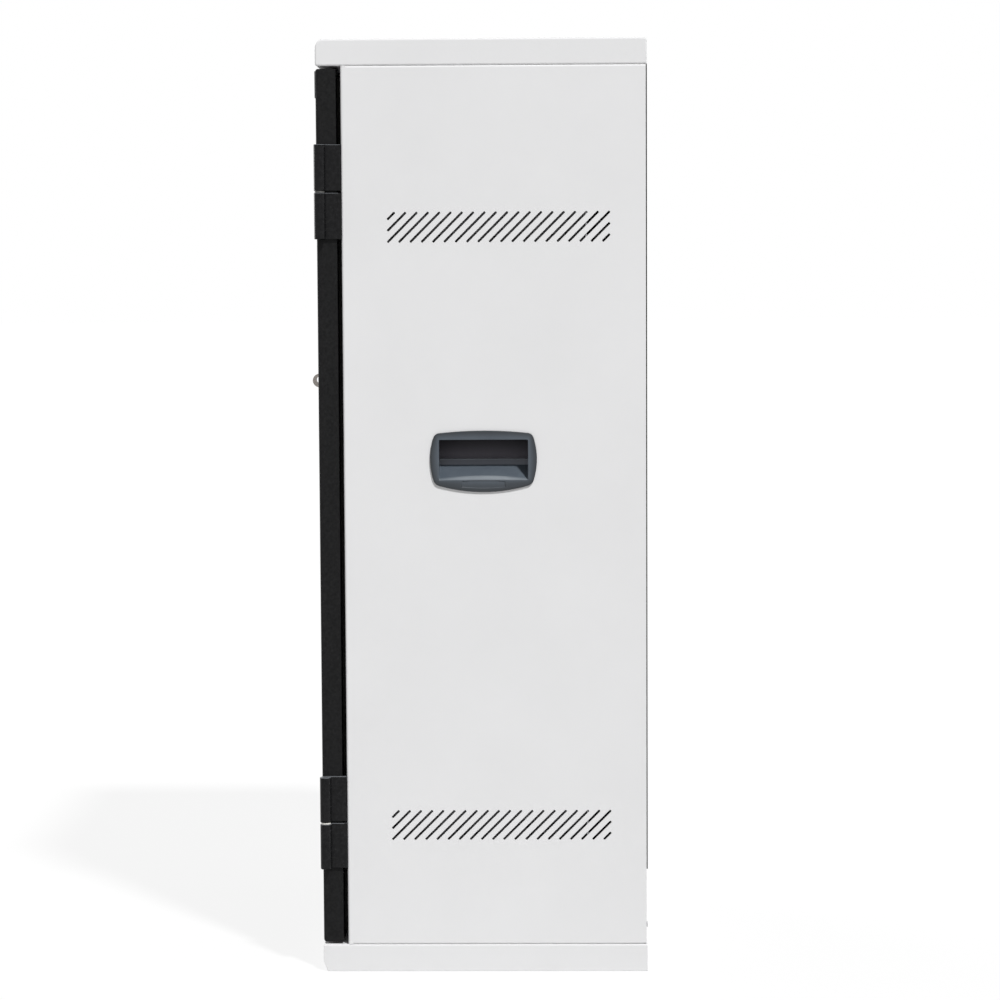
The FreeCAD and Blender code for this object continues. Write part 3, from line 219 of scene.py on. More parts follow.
def addMath(group, operation, first, second):
    node = group.nodes.new("ShaderNodeMath")
    node.operation = operation
    for socket, value in zip(node.inputs, (first, second)):
        if isinstance(value, (int, float)):
            socket.default_value = value
        else:
            group.links.new(value, socket)
    return node.outputs[0]


def makePowderCoat():
    # sprayed powder: a rolling orange peel, finer texture on top, slow waves of the sheet, faint mottling
    group, entry, leave = startGroup(
        "powderCoat",
        [("Peel Scale", 420.0), ("Peel Height", 0.5), ("Texture Scale", 1900.0), ("Texture Height", 0.15),
         ("Wave Scale", 5.0), ("Wave Height", 6.0), ("Mottle Scale", 9.0)],
        [("Height", "NodeSocketFloat"), ("Mottle", "NodeSocketFloat"), ("Speckle", "NodeSocketFloat")])
    place = objectPlace(group)
    peel = addNoise(group, place, entry["Peel Scale"])
    texture = addNoise(group, place, entry["Texture Scale"], 3.0)
    wave = addNoise(group, place, entry["Wave Scale"], 1.0)
    height = addMath(group, "MULTIPLY", peel, entry["Peel Height"])
    height = addMath(group, "ADD", height, addMath(group, "MULTIPLY", texture, entry["Texture Height"]))
    height = addMath(group, "ADD", height, addMath(group, "MULTIPLY", wave, entry["Wave Height"]))
    group.links.new(height, leave["Height"])
    group.links.new(addNoise(group, place, entry["Mottle Scale"], 4.0, 0.6), leave["Mottle"])
    group.links.new(texture, leave["Speckle"])
    return group


def makeMouldGrain():
    # spark-eroded mould grain with slight flow marks
    group, entry, leave = startGroup(
        "mouldGrain", [("Grain Scale", 1500.0), ("Flow Scale", 40.0)],
        [("Height", "NodeSocketFloat"), ("Mottle", "NodeSocketFloat")])
    place = objectPlace(group)
    cells = group.nodes.new("ShaderNodeTexVoronoi")
    cells.feature = "SMOOTH_F1"
    group.links.new(place, cells.inputs["Vector"])
    group.links.new(entry["Grain Scale"], cells.inputs["Scale"])
    fine = addNoise(group, place, entry["Grain Scale"], 3.0)
    group.links.new(addMath(group, "ADD", cells.outputs["Distance"], fine), leave["Height"])
    group.links.new(addNoise(group, place, entry["Flow Scale"], 4.0, 0.6), leave["Mottle"])
    return group


def makeDrawnLines():
    # lines that rolling, drawing, turning or brushing leaves along one axis
    group, entry, leave = startGroup(
        "drawnLines", [("Across X", 900.0), ("Across Y", 900.0), ("Across Z", 20.0), ("Patch Scale", 30.0)],
        [("Height", "NodeSocketFloat"), ("Mottle", "NodeSocketFloat")])
    place = objectPlace(group)
    stretch = group.nodes.new("ShaderNodeCombineXYZ")
    for socket, label in zip(stretch.inputs, ("Across X", "Across Y", "Across Z")):
        group.links.new(entry[label], socket)
    scaled = group.nodes.new("ShaderNodeVectorMath")
    scaled.operation = "MULTIPLY"
    group.links.new(place, scaled.inputs[0])
    group.links.new(stretch.outputs[0], scaled.inputs[1])
    lines = group.nodes.new("ShaderNodeTexNoise")
    lines.inputs["Scale"].default_value = 1.0
    lines.inputs["Detail"].default_value = 3.0
    group.links.new(scaled.outputs[0], lines.inputs["Vector"])
    group.links.new(lines.outputs["Fac"], leave["Height"])
    group.links.new(addNoise(group, place, entry["Patch Scale"], 4.0, 0.65), leave["Mottle"])
    return group


def makeUpwardFaces():
    # mask of the faces and rounded edges that look up, where a highlight is painted
    group, entry, leave = startGroup(
        "upwardFaces", [("Start", 0.3), ("Full", 0.8)], [("Mask", "NodeSocketFloat")])
    surface = group.nodes.new("ShaderNodeNewGeometry")
    split = group.nodes.new("ShaderNodeSeparateXYZ")
    group.links.new(surface.outputs["Normal"], split.inputs[0])
    mask = group.nodes.new("ShaderNodeMapRange")
    group.links.new(split.outputs["Z"], mask.inputs["Value"])
    group.links.new(entry["Start"], mask.inputs["From Min"])
    group.links.new(entry["Full"], mask.inputs["From Max"])
    group.links.new(mask.outputs[0], leave["Mask"])
    return group


powderCoat = makePowderCoat()
mouldGrain = makeMouldGrain()
drawnLines = makeDrawnLines()
upwardFaces = makeUpwardFaces()


# Finishes

def addGroup(tree, group, values):
    node = tree.nodes.new("ShaderNodeGroup")
    node.node_tree = group
    for label, value in values.items():
        node.inputs[label].default_value = value
    return node


noiseSpread = (0.3, 0.7)      # most of a noise texture's values lie between these


def rampBetween(tree, fac, colours):
    ramp = tree.nodes.new("ShaderNodeValToRGB")
    for stop, place, colour in zip(ramp.color_ramp.elements, noiseSpread, colours):
        stop.position = place
        stop.color = (*colour, 1.0)
    tree.links.new(fac, ramp.inputs[0])
    return ramp.outputs[0]


def mixColours(tree, blend, share, first, second):
    mix = tree.nodes.new("ShaderNodeMix")
    mix.data_type = "RGBA"
    mix.blend_type = blend
    # sockets 6 and 7 are the two colours, and 2 is the mixed one: other kinds of data share their names
    for socket, value in zip((mix.inputs[0], mix.inputs[6], mix.inputs[7]), (share, first, second)):
        if isinstance(value, bpy.types.NodeSocket):
            tree.links.new(value, socket)
        else:
            socket.default_value = value
    return mix.outputs[2]


def tintColour(tree, colour, attribute):
    # the piece carries painted light and shade on its points: on a handle, painted shade on the rim, the band
    # under the mouth and the dull back, and painted highlights on the lip and the ledge; on a washer, painted
    # shade
    shadeTint = tree.nodes.new("ShaderNodeAttribute")
    shadeTint.attribute_name = attribute
    return mixColours(tree, "MULTIPLY", 1.0, colour, shadeTint.outputs["Color"])


def paintTopHighlight(tree, colour, highlightColour):
    mask = addGroup(tree, upwardFaces, {}).outputs["Mask"]
    return mixColours(tree, "MIX", mask, colour, (*highlightColour, 1.0))


def makeFinish(name, group, finish):
    # every finish: colour and roughness drift with the group's mottle, and its height makes the bump
    material = bpy.data.materials.new(name)
    material.use_nodes = True
    tree = material.node_tree
    shader = tree.nodes["Principled BSDF"]
    for label, value in finish.get("shader", {}).items():
        shader.inputs[label].default_value = value
    effect = addGroup(tree, group, finish.get("effect", {}))
    fac = effect.outputs[finish.get("colourBy", "Mottle")]
    colour = rampBetween(tree, fac, finish["colours"])
    if "tintBy" in finish:
        colour = tintColour(tree, colour, finish["tintBy"])
    # a painted highlight on the faces that look up
    if "topHighlight" in finish:
        colour = paintTopHighlight(tree, colour, finish["topHighlight"])
    tree.links.new(colour, shader.inputs["Base Color"])
    rough = tree.nodes.new("ShaderNodeMapRange")
    limits = zip(("From Min", "From Max", "To Min", "To Max"), noiseSpread + finish["roughness"])
    for label, value in limits:
        rough.inputs[label].default_value = value
    tree.links.new(effect.outputs["Mottle"], rough.inputs["Value"])
    tree.links.new(rough.outputs[0], shader.inputs["Roughness"])
    bump = tree.nodes.new("ShaderNodeBump")
    bump.inputs["Strength"].default_value = finish.get("bump", 0.3)
    bump.inputs["Distance"].default_value = finish.get("bumpDepth", 0.05) * mm
    tree.links.new(effect.outputs["Height"], bump.inputs["Height"])
    tree.links.new(bump.outputs[0], shader.inputs["Normal"])
    return material


# two tones that the mottle mixes, a range of roughness, and how strong (and how deep, in mm) the bump is
finishes = {
    "white_paint": makeFinish("whitePowderCoat", powderCoat, {
        "colours": [(0.735, 0.735, 0.74), (0.755, 0.755, 0.76)],
        "roughness": (0.36, 0.44),
        "bump": 0.35,
        "shader": {"Specular IOR Level": 0.25}}),
    "black_paint": makeFinish("blackPowderCoat", powderCoat, {
        "effect": {"Peel Scale": 700.0, "Texture Scale": 1700.0, "Texture Height": 1.0, "Wave Height": 2.0,
                   "Mottle Scale": 380.0},
        "colours": [(0.0035, 0.0035, 0.0038), (0.0125, 0.0125, 0.0128)],
        "roughness": (0.45, 0.6),
        "bump": 0.6,
        "bumpDepth": 0.06,
        "shader": {"Specular IOR Level": 0.12}}),
    "smooth_black": makeFinish("blackHingePaint", powderCoat, {
        "effect": {"Peel Scale": 700.0, "Texture Height": 0.3, "Wave Height": 1.0, "Mottle Scale": 260.0},
        "colours": [(0.004, 0.004, 0.0045), (0.0125, 0.0125, 0.0132)],
        # painted highlight on the tops of the hinge halves
        "topHighlight": (0.12, 0.125, 0.135),
        "roughness": (0.22, 0.3),
        "bump": 0.3,
        "shader": {"Specular IOR Level": 0.13}}),
    "grey_paint": makeFinish("greyPowderCoat", powderCoat, {
        "colours": [(0.33, 0.33, 0.34), (0.36, 0.36, 0.37)],
        "roughness": (0.4, 0.5)}),
    "shelf_paint": makeFinish("charcoalPowderCoat", powderCoat, {
        "effect": {"Peel Scale": 700.0, "Texture Scale": 1600.0, "Texture Height": 0.9, "Wave Height": 3.0},
        "colourBy": "Speckle",
        "colours": [(0.024, 0.024, 0.026), (0.042, 0.042, 0.044)],
        "roughness": (0.45, 0.55),
        "bump": 0.5,
        "shader": {"Specular IOR Level": 0.3}}),
    "zinc_steel": makeFinish("zincPlate", drawnLines, {
        "colours": [(0.55, 0.56, 0.58), (0.68, 0.67, 0.64)],
        "roughness": (0.22, 0.4),
        "bump": 0.12,
        "shader": {"Metallic": 1.0}}),
    "chrome": makeFinish("chromePlate", drawnLines, {
        "effect": {"Across X": 400.0, "Across Y": 60.0, "Across Z": 400.0},
        "colours": [(0.62, 0.61, 0.6), (0.7, 0.69, 0.68)],
        "roughness": (0.08, 0.18),
        "bump": 0.04,
        "shader": {"Metallic": 1.0}}),
    "worn_nickel": makeFinish("wornNickel", drawnLines, {
        "effect": {"Across X": 300.0, "Across Y": 900.0, "Across Z": 300.0, "Patch Scale": 420.0},
        "colours": [(0.21, 0.19, 0.175), (0.37, 0.34, 0.315)],
        "roughness": (0.24, 0.34),
        "bump": 0.25,
        "shader": {"Metallic": 1.0}}),
    "brass": makeFinish("turnedBrass", drawnLines, {
        "effect": {"Across X": 80.0, "Across Y": 3000.0, "Across Z": 80.0},
        "colours": [(0.58, 0.4, 0.13), (0.68, 0.5, 0.2)],
        "roughness": (0.2, 0.35),
        "bump": 0.15,
        "shader": {"Metallic": 1.0}}),
    "charger_aluminium": makeFinish("anodisedAluminium", drawnLines, {
        "effect": {"Across X": 1400.0, "Across Y": 1400.0, "Across Z": 6.0},
        "colours": [(0.5, 0.5, 0.51), (0.6, 0.6, 0.61)],
        "roughness": (0.32, 0.45),
        "bump": 0.15,
        "shader": {"Metallic": 0.9}}),
    "slate_plastic": makeFinish("slateMoulding", mouldGrain, {
        "colours": [(0.058, 0.072, 0.09), (0.07, 0.086, 0.105)],
        "tintBy": "shadeTint",
        "roughness": (0.3, 0.38),
        "bump": 0.2,
        "shader": {"Specular IOR Level": 0.5}}),
    "cup_back": makeFinish("dullMoulding", mouldGrain, {
        "colours": [(0.058, 0.072, 0.09), (0.07, 0.086, 0.105)],
        "tintBy": "shadeTint",
        "roughness": (0.6, 0.7),
        "bump": 0.3,
        "shader": {"Specular IOR Level": 0.1}}),
    "black_plastic": makeFinish("blackMoulding", mouldGrain, {
        "colours": [(0.008, 0.008, 0.009), (0.014, 0.014, 0.015)],
        "roughness": (0.38, 0.5),
        "bump": 0.2,
        "shader": {"Specular IOR Level": 0.35}}),
    "white_plastic": makeFinish("whiteMoulding", mouldGrain, {
        "colours": [(0.68, 0.68, 0.66), (0.74, 0.74, 0.72)],
        "roughness": (0.25, 0.33),
        "bump": 0.06}),
    "white_nylon": makeFinish("naturalNylon", mouldGrain, {
        "colours": [(0.72, 0.71, 0.66), (0.8, 0.79, 0.74)],
        "roughness": (0.35, 0.45),
        "bump": 0.1,
        "shader": {"Subsurface Weight": 0.15, "Subsurface Scale": 0.002}}),
    "nylon_painted_shade": makeFinish("nylonPaintedShade", mouldGrain, {
        "colours": [(0.72, 0.71, 0.66), (0.8, 0.79, 0.74)],
        "tintBy": "shadeTint",
        "roughness": (0.35, 0.45),
        "bump": 0.1}),
    "grey_plastic": makeFinish("greyMoulding", mouldGrain, {
        "colours": [(0.26, 0.27, 0.28), (0.3, 0.31, 0.32)],
        "roughness": (0.5, 0.6),
        "bump": 0.2}),
    "lamp_lens": makeFinish("greenLens", mouldGrain, {
        "colours": [(0.1, 0.42, 0.16), (0.14, 0.5, 0.2)],
        "roughness": (0.08, 0.14),
        "bump": 0.02,
        "shader": {"Coat Weight": 0.5, "Emission Color": (0.12, 0.6, 0.2, 1.0), "Emission Strength": 0.25}}),
    "seal_rubber": makeFinish("foamRubber", mouldGrain, {
        "effect": {"Grain Scale": 1100.0},
        "colours": [(0.035, 0.034, 0.033), (0.05, 0.048, 0.046)],
        "roughness": (0.8, 0.9),
        "bump": 0.7,
        "bumpDepth": 0.12,
        "shader": {"Specular IOR Level": 0.2}}),
}
print("finishes made:", len(finishes))


# CAD pieces keep their shape: their sharp edges are broken by a small bevel, as bent and painted ones are

sharpOver = 35.0              # degrees between two faces, from which their edge is broken

# widths in mm
edgeBreak = {
    "usual": 0.3,
    "door_skin": 0.5,
    "base_pan": 0.5,
    "hinge_door_leaves": 0.7,
    "hinge_frame_leaves": 0.7,
    "rear_panel": 0.2,
    "lock_pinion": 0.1,
    "door_header_plate": 0.2,
    "charger_ports_lower": 0.1,
    "charger_ports_upper": 0.1,
    "mains_inlet": 0.2,
}

# long thin triangles beside the openings of these show as lines, so their flat faces are joined first
joinFlat = {"nodes": ("rear_sill", "front_top_rail", "door_skin"), "degrees": 0.3}


def evenNormals(piece):
    even = piece.modifiers.new("evenNormals", "WEIGHTED_NORMAL")
    even.keep_sharp = True


def breakEdges(node, piece, width):
    weld = piece.modifiers.new("mergeTriangles", "WELD")
    weld.merge_threshold = mergeDistance
    if node in joinFlat["nodes"]:
        flat = piece.modifiers.new("joinFlatTriangles", "DECIMATE")
        flat.decimate_type = "DISSOLVE"
        flat.angle_limit = math.radians(joinFlat["degrees"])
    bevel = piece.modifiers.new("brokenEdges", "BEVEL")
    bevel.limit_method = "ANGLE"
    bevel.angle_limit = math.radians(sharpOver)
    bevel.width = width * mm
    bevel.segments = 2
    bevel.use_clamp_overlap = True
    bevel.miter_outer = "MITER_ARC"
    evenNormals(piece)


# these differ from the rest of their slot: smoother hinge halves with a painted highlight on their tops, and
# a key worn by pockets
ownFinish = {"hinge_door_leaves": "smooth_black", "hinge_frame_leaves": "smooth_black", "key": "worn_nickel"}

for node, piece in nodes.items():
    piece.data.materials.clear()
    piece.data.materials.append(finishes[ownFinish.get(node, nodeSlot[node])])
    breakEdges(node, piece, edgeBreak.get(node, edgeBreak["usual"]))
print("CAD pieces finished")


# New pieces: most stand in the place of a CAD node, and their forms are in mm

def newPiece(shape, name, slotName, body, *replaced, finish=None):
    bmesh.ops.remove_doubles(shape, verts=shape.verts, dist=mergeDistance)
    bmesh.ops.recalc_face_normals(shape, faces=shape.faces)
    mesh = bpy.data.meshes.new(name)
    shape.to_mesh(mesh)
    shape.free()
    mesh.shade_smooth()
    piece = bpy.data.objects.new(name, mesh)
    bpy.context.scene.collection.objects.link(piece)
    mesh.materials.append(finishes[finish or slotName])
    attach(piece, body)
    if replaced:
        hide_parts(*replaced)
    return piece


def standIn(shape, name, node, finish=None):
    return newPiece(shape, name, nodeSlot[node], nodeBody[node], node, finish=finish)


def onlyKind(made, kind):
    return [part for part in made["geom"] if isinstance(part, kind)]


def edgesOf(verts):
    # each edge once, and in the same order each run
    return list(dict.fromkeys(edge for vert in verts for edge in vert.link_edges))


def sharpEdges(shape, degrees):
    limit = math.radians(degrees)
    return [edge for edge in shape.edges if len(edge.link_faces) == 2 and edge.calc_face_angle() > limit]


def roundEdges(shape, edges, radius, segments=3):
    bmesh.ops.bevel(shape, geom=edges, offset=radius, offset_type="OFFSET", affect="EDGES",
                    segments=segments, profile=0.5, material=-1, clamp_overlap=True)


# Flush carry handles: a crowned bezel that turns in over a round lip to a stepped cup, as one moulding

handleForm = {
    "perCorner": 5,           # points round each corner of a ring, and along each of its sides
    "perRun": 15,
    "wall": 2.0,
    # half across, top, bottom, corner radius, then how far the sides, the top and the bottom bow outwards
    "outline": (52.0, 29.5, -25.0, 4.0, 5.0, 3.1, 8.0),
    "mouth": (47.5, 23.0, -20.0, 1.2, 0.0, 0.0, 0.0),
    # share of the way from outline to mouth, height over the panel, and the crown's tone: painted shade
    # darkest at the outer rim, fading out towards the mouth, with a little painted light by it
    "crown": [(0.0, 0.0, 0.3), (0.005, 1.6, 0.3), (0.05, 2.1, 0.3), (0.14, 2.3, 0.32), (0.3, 2.5, 0.42),
              (0.55, 2.8, 0.66), (0.8, 2.95, 0.92), (0.93, 3.0, 1.0), (0.985, 2.85, 1.05)],
    # painted shade darkens the band under the mouth
    "lowerBand": 0.72,        # the band under the mouth is darker: this proud, and this low in its ring
    "lowerBandProud": 2.5,
    "lowerBandLow": -0.9,
    # height over the panel, a ring as above, and its painted light and shade: highlights on the lip, the ramp
    # and the ledge, shade just under the ledge
    "cup": [(2.45, (47.5, 23.0, -19.7, 1.2, 0.0, 0.0, -0.6), (2.2, 2.05, 1.9)),
            (1.4, (47.5, 23.0, -19.2, 1.2, 0.0, 0.0, -1.9), (2.3, 2.15, 1.95)),
            (0.3, (47.5, 23.0, -18.6, 1.2, 0.0, 0.0, -3.1), (1.7, 1.6, 1.5)),
            (-1.2, (47.5, 23.2, -17.9, 1.2, 0.0, 0.0, -3.2), (1.3, 1.28, 1.25)),
            (-17.5, (47.5, 25.5, -6.2, 1.2, 0.0, 0.0, -0.2), (1.3, 1.28, 1.25)),
            (-19.1, (47.5, 25.5, -5.0, 1.2, 0.0, 0.0, 0.0), (0.8, 0.78, 0.85)),
            (-19.3, (47.5, 25.5, 0.3, 1.2, 0.0, 0.0, 0.0), (0.5, 0.48, 0.56)),
            (-19.5, (47.5, 25.5, 0.7, 1.2, 0.0, 0.0, 0.0), (3.2, 2.8, 2.5)),
            (-20.1, (47.5, 25.5, 1.5, 1.2, 0.0, 0.0, 0.0), (3.2, 2.8, 2.5)),
            (-26.0, (47.5, 25.5, 1.4, 1.2, 0.0, 0.0, 0.0), (0.9, 0.78, 0.75))],
    "backRings": (0.8, 0.75, 0.66, 0.5),      # how far each ring of the back shrinks from the one before
    "backFrom": -21.0,
    # painted highlight at the ledge and painted shade at the top of the back
    "backLightAndShade": ((3.4, 2.6, 2.45), (0.2, 0.155, 0.14)),    # at the ledge and at the top
    "backFade": 0.36,
    "fieldHalfWidth": 24.2,
    "fieldTop": -20.5,
    "fieldRings": (4, 7),
    "fieldWall": 0.9,
    "fieldDepth": 0.9,
    "fieldTint": 1.35,
    "edgeRadius": 0.25,
    "roundOver": 40.0,        # degrees: steeper edges are rounded, and then the rest stay sharp over the next
    "sharpOver": 25.0,
}


def ringEdges(shape, ring, out, shadeTint, form):
    # one closed ring across the handle: a rounded rectangle whose sides may bow
    tintLayer = shape.verts.layers.float_color["shadeTint"]
    half, top, bottom, corner, bowSide, bowTop, bowBottom = ring
    perQuarter = form["perCorner"] + form["perRun"]
    middle = (top + bottom) / 2.0
    tall = (top - bottom) / 2.0

    def cornerPoint(quarter, share):
        turn = (quarter + share) * math.pi / 2.0
        across = (half - corner) * (1 if quarter % 4 in (0, 3) else -1) + corner * math.cos(turn)
        up = (tall - corner) * (1 if quarter % 4 in (0, 1) else -1) + corner * math.sin(turn)
        return Vector((0.0, across, up))

    made = bmesh.ops.create_circle(shape, cap_ends=False, segments=4 * perQuarter, radius=1.0)
    for vert in made["verts"]:
        turned = math.atan2(vert.co.y, vert.co.x) / (2.0 * math.pi)
        quarter, step = divmod(round(turned * 4 * perQuarter) % (4 * perQuarter), perQuarter)
        if step < form["perCorner"]:
            point = cornerPoint(quarter, step / (form["perCorner"] - 1))
        else:
            share = (step - form["perCorner"] + 1) / (form["perRun"] + 1)
            point = cornerPoint(quarter, 1.0).lerp(cornerPoint(quarter + 1, 0.0), share)
        across, up = point.y / half, point.z / tall
        rise = (bowTop if up > 0 else -bowBottom) * abs(up) * (1.0 - across ** 2)
        spread = bowSide * across * (1.0 - up ** 2)
        vert.co = (out, point.y + spread, middle + point.z + rise)
        # painted shade on the band under the mouth
        inBand = out > form["lowerBandProud"] and up < form["lowerBandLow"]
        level = form["lowerBand"] if inBand else 1.0
        vert[tintLayer] = (*[level * part for part in shadeTint], 1.0)
    return edgesOf(made["verts"])


def closeBack(shape, loop, form):
    # rings shrink to the middle of the back, which is dull and neutral; its colour runs from a painted
    # highlight at the ledge to painted shade, darkest at its top
    tintLayer = shape.verts.layers.float_color["shadeTint"]
    low, high = (Vector(shadeTint) for shadeTint in form["backLightAndShade"])
    bottom, top = form["cup"][-1][1][2], form["cup"][-1][1][1]
    middle = Matrix.Translation((0.0, 0.0, -(bottom + top) / 2.0))
    for share in form["backRings"]:
        made = bmesh.ops.extrude_edge_only(shape, edges=loop)
        verts = onlyKind(made, bmesh.types.BMVert)
        loop = onlyKind(made, bmesh.types.BMEdge)
        bmesh.ops.scale(shape, vec=(1.0, share, share), space=middle, verts=verts)
    bmesh.ops.contextual_create(shape, geom=loop)
    for vert in shape.verts:
        if vert.co.x < form["backFrom"]:
            share = min(max((vert.co.z - bottom) / (top - bottom), 0.0), 1.0) ** form["backFade"]
            vert[tintLayer] = (*low.lerp(high, share), 1.0)


def makeHandle(form, node, sideWay):
    low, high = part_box(node)
    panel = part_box("side_panel_hinge_side")[1].x
    shape = bmesh.new()
    shape.verts.layers.float_color.new("shadeTint")
    rings = []
    for share, out, tone in form["crown"]:
        ring = [a + (b - a) * share for a, b in zip(form["outline"], form["mouth"])]
        rings.append((out, ring, (tone, tone, tone)))
    rings += form["cup"]
    loops = [ringEdges(shape, ring, out, shadeTint, form) for out, ring, shadeTint in rings]
    for first, second in zip(loops, loops[1:]):
        bmesh.ops.bridge_loops(shape, edges=first + second)
    closeBack(shape, loops[-1], form)
    bmesh.ops.recalc_face_normals(shape, faces=shape.faces)
    roundEdges(shape, sharpEdges(shape, form["roundOver"]), form["edgeRadius"])
    lowest, highest = (form["crown"][ring][1] for ring in form["fieldRings"])
    field = []
    for face in shape.faces:
        middle = face.calc_center_median()
        inBand = lowest < middle.x < highest and middle.z < form["fieldTop"]
        onCrown = min(vert.co.x for vert in face.verts) > lowest - nearly
        if inBand and onCrown and abs(middle.y) < form["fieldHalfWidth"]:
            field.append(face)
    inwards = -math.copysign(form["fieldDepth"], field[0].normal.x)
    bmesh.ops.inset_region(shape, faces=field, thickness=form["fieldWall"], depth=inwards,
                           use_even_offset=True, use_boundary=True)
    # the field is painted lighter than the band round it
    tintLayer = shape.verts.layers.float_color["shadeTint"]
    for vert in {vert for face in field for vert in face.verts}:
        vert[tintLayer] = vert[tintLayer] * form["fieldTint"]
    for edge in sharpEdges(shape, form["sharpOver"]):
        edge.smooth = False
    for face in shape.faces:
        face.material_index = 1 if face.calc_center_median().x < form["backFrom"] else 0
    bmesh.ops.transform(shape, matrix=Matrix.Diagonal((sideWay * mm, mm, mm, 1.0)), verts=shape.verts)
    centre = Vector((sideWay * panel, (low.y + high.y) / 2.0, (low.z + high.z) / 2.0))
    bmesh.ops.translate(shape, vec=centre, verts=shape.verts)
    piece = standIn(shape, node.replace("carry_handle", "handleMoulding"), node)
    piece.data.materials.append(finishes["cup_back"])
    wall = piece.modifiers.new("wall", "SOLIDIFY")
    wall.thickness = form["wall"] * mm
    wall.offset = -1.0
    evenNormals(piece)


for node, sideWay in (("carry_handle_hinge_side", 1), ("carry_handle_lock_side", -1)):
    makeHandle(handleForm, node, sideWay)
print("carry handles moulded")


# Small pieces that repeat: the box of each one in a CAD group

def islands(node):
    shape = bmesh.new()
    shape.from_mesh(nodes[node].data)
    bmesh.ops.remove_doubles(shape, verts=shape.verts, dist=mergeDistance)
    left = set(shape.verts)
    found = []
    for start in shape.verts:
        if start not in left:
            continue
        left.remove(start)
        group = [start]
        for vert in group:
            near = [edge.other_vert(vert) for edge in vert.link_edges]
            near = [other for other in near if other in left]
            left.difference_update(near)
            group += near
        low = Vector([min(vert.co[axis] for vert in group) for axis in range(3)])
        high = Vector([max(vert.co[axis] for vert in group) for axis in range(3)])
        found.append((low, high))
    shape.free()
    return found


def placed(place, outwards):
    # from millimetres along +Z to a place in the cabinet, facing outwards
    turn = Vector(outwards).to_track_quat("Z", "Y").to_matrix().to_4x4()
    return Matrix.Translation(place) @ turn @ Matrix.Scale(mm, 4)


smallSharpOver = 40.0         # as sharpOver, for the turned and cut small pieces


def smallBevel(piece, width):
    bevel = piece.modifiers.new("brokenEdges", "BEVEL")
    bevel.limit_method = "ANGLE"
    bevel.angle_limit = math.radians(smallSharpOver)
    bevel.width = width * mm
    bevel.segments = 2
    evenNormals(piece)


def addTo(shape, part):
    # a finished part goes into the shape that holds its whole group
    mesh = bpy.data.meshes.new("part")
    part.to_mesh(mesh)
    part.free()
    shape.from_mesh(mesh)
    bpy.data.meshes.remove(mesh)


def lathe(shape, profile, steps):
    # a profile of radius and height, turned about Z
    verts = [shape.verts.new((radius, 0.0, height)) for radius, height in profile]
    edges = [shape.edges.new(pair) for pair in zip(verts, verts[1:])]
    bmesh.ops.spin(shape, geom=verts + edges, cent=(0.0, 0.0, 0.0), axis=(0.0, 0.0, 1.0),
                   dvec=(0.0, 0.0, 0.0), angle=2.0 * math.pi, steps=steps, use_merge=True)


# Flat-headed screws with a cross recess

screwForm = {
    "headRadius": 3.6,
    "headDepth": 1.2,
    "rimDrop": 0.12,
    "shankRadius": 1.9,
    "length": 6.0,
    "sides": 24,
    "crossReach": 2.1,
    "crossWidth": 0.42,
    "crossDepth": 1.0,
    "crossTaper": 0.5,
    "edge": 0.08,
}


def cutCross(screw, form):
    # a grid of nine faces loses its corners, and the cross that is left sinks in; gives back its rim
    grid = bmesh.ops.create_grid(screw, x_segments=3, y_segments=3, size=form["crossReach"])["verts"]
    for vert in grid:
        for axis in (0, 1):
            if abs(vert.co[axis]) < form["crossReach"] / 2.0:
                vert.co[axis] = math.copysign(form["crossWidth"], vert.co[axis])
    corners, cross = [], []
    for face in screw.faces:
        middle = face.calc_center_median()
        inCorner = min(abs(middle.x), abs(middle.y)) > form["crossWidth"]
        (corners if inCorner else cross).append(face)
    rim = [edge for edge in screw.edges if len([face for face in edge.link_faces if face in cross]) == 1]
    bmesh.ops.delete(screw, geom=corners, context="FACES")
    floor = onlyKind(bmesh.ops.extrude_face_region(screw, geom=cross), bmesh.types.BMVert)
    bmesh.ops.translate(screw, vec=(0.0, 0.0, -form["crossDepth"]), verts=floor)
    bmesh.ops.scale(screw, vec=(form["crossTaper"], form["crossTaper"], 1.0), verts=floor)
    bmesh.ops.delete(screw, geom=[face for face in cross if face.is_valid], context="FACES_ONLY")
    return rim


def addScrew(shape, form, matrix):
    screw = bmesh.new()
    rim = cutCross(screw, form)
    radius = form["headRadius"] - form["rimDrop"]
    ring = bmesh.ops.create_circle(screw, cap_ends=False, segments=form["sides"], radius=radius)["verts"]
    loop = edgesOf(ring)
    bmesh.ops.bridge_loops(screw, edges=rim + loop)
    for nextRadius, drop in ((form["headRadius"], form["rimDrop"]),
                             (form["shankRadius"], form["headDepth"] - form["rimDrop"]),
                             (form["shankRadius"], form["length"] - form["headDepth"])):
        made = bmesh.ops.extrude_edge_only(screw, edges=loop)
        verts = onlyKind(made, bmesh.types.BMVert)
        loop = onlyKind(made, bmesh.types.BMEdge)
        bmesh.ops.scale(screw, vec=(nextRadius / radius, nextRadius / radius, 1.0), verts=verts)
        bmesh.ops.translate(screw, vec=(0.0, 0.0, -drop), verts=verts)
        radius = nextRadius
    bmesh.ops.contextual_create(screw, geom=loop)
    bmesh.ops.transform(screw, matrix=matrix, verts=screw.verts)
    addTo(shape, screw)


def makeScrews(form, node, name, headOf):
    shape = bmesh.new()
    for low, high in islands(node):
        place, outwards = headOf(low, high)
        addScrew(shape, form, placed(place, outwards))
    smallBevel(standIn(shape, name, node), form["edge"])


def rearHead(low, high):
    middle = (low + high) / 2.0
    return Vector((middle.x, high.y, middle.z)), (0.0, 1.0, 0.0)


def bulkheadHead(low, high):
    middle = (low + high) / 2.0
    side = math.copysign(1.0, middle.x)
    return Vector((low.x if side > 0 else high.x, middle.y, middle.z)), (-side, 0.0, 0.0)


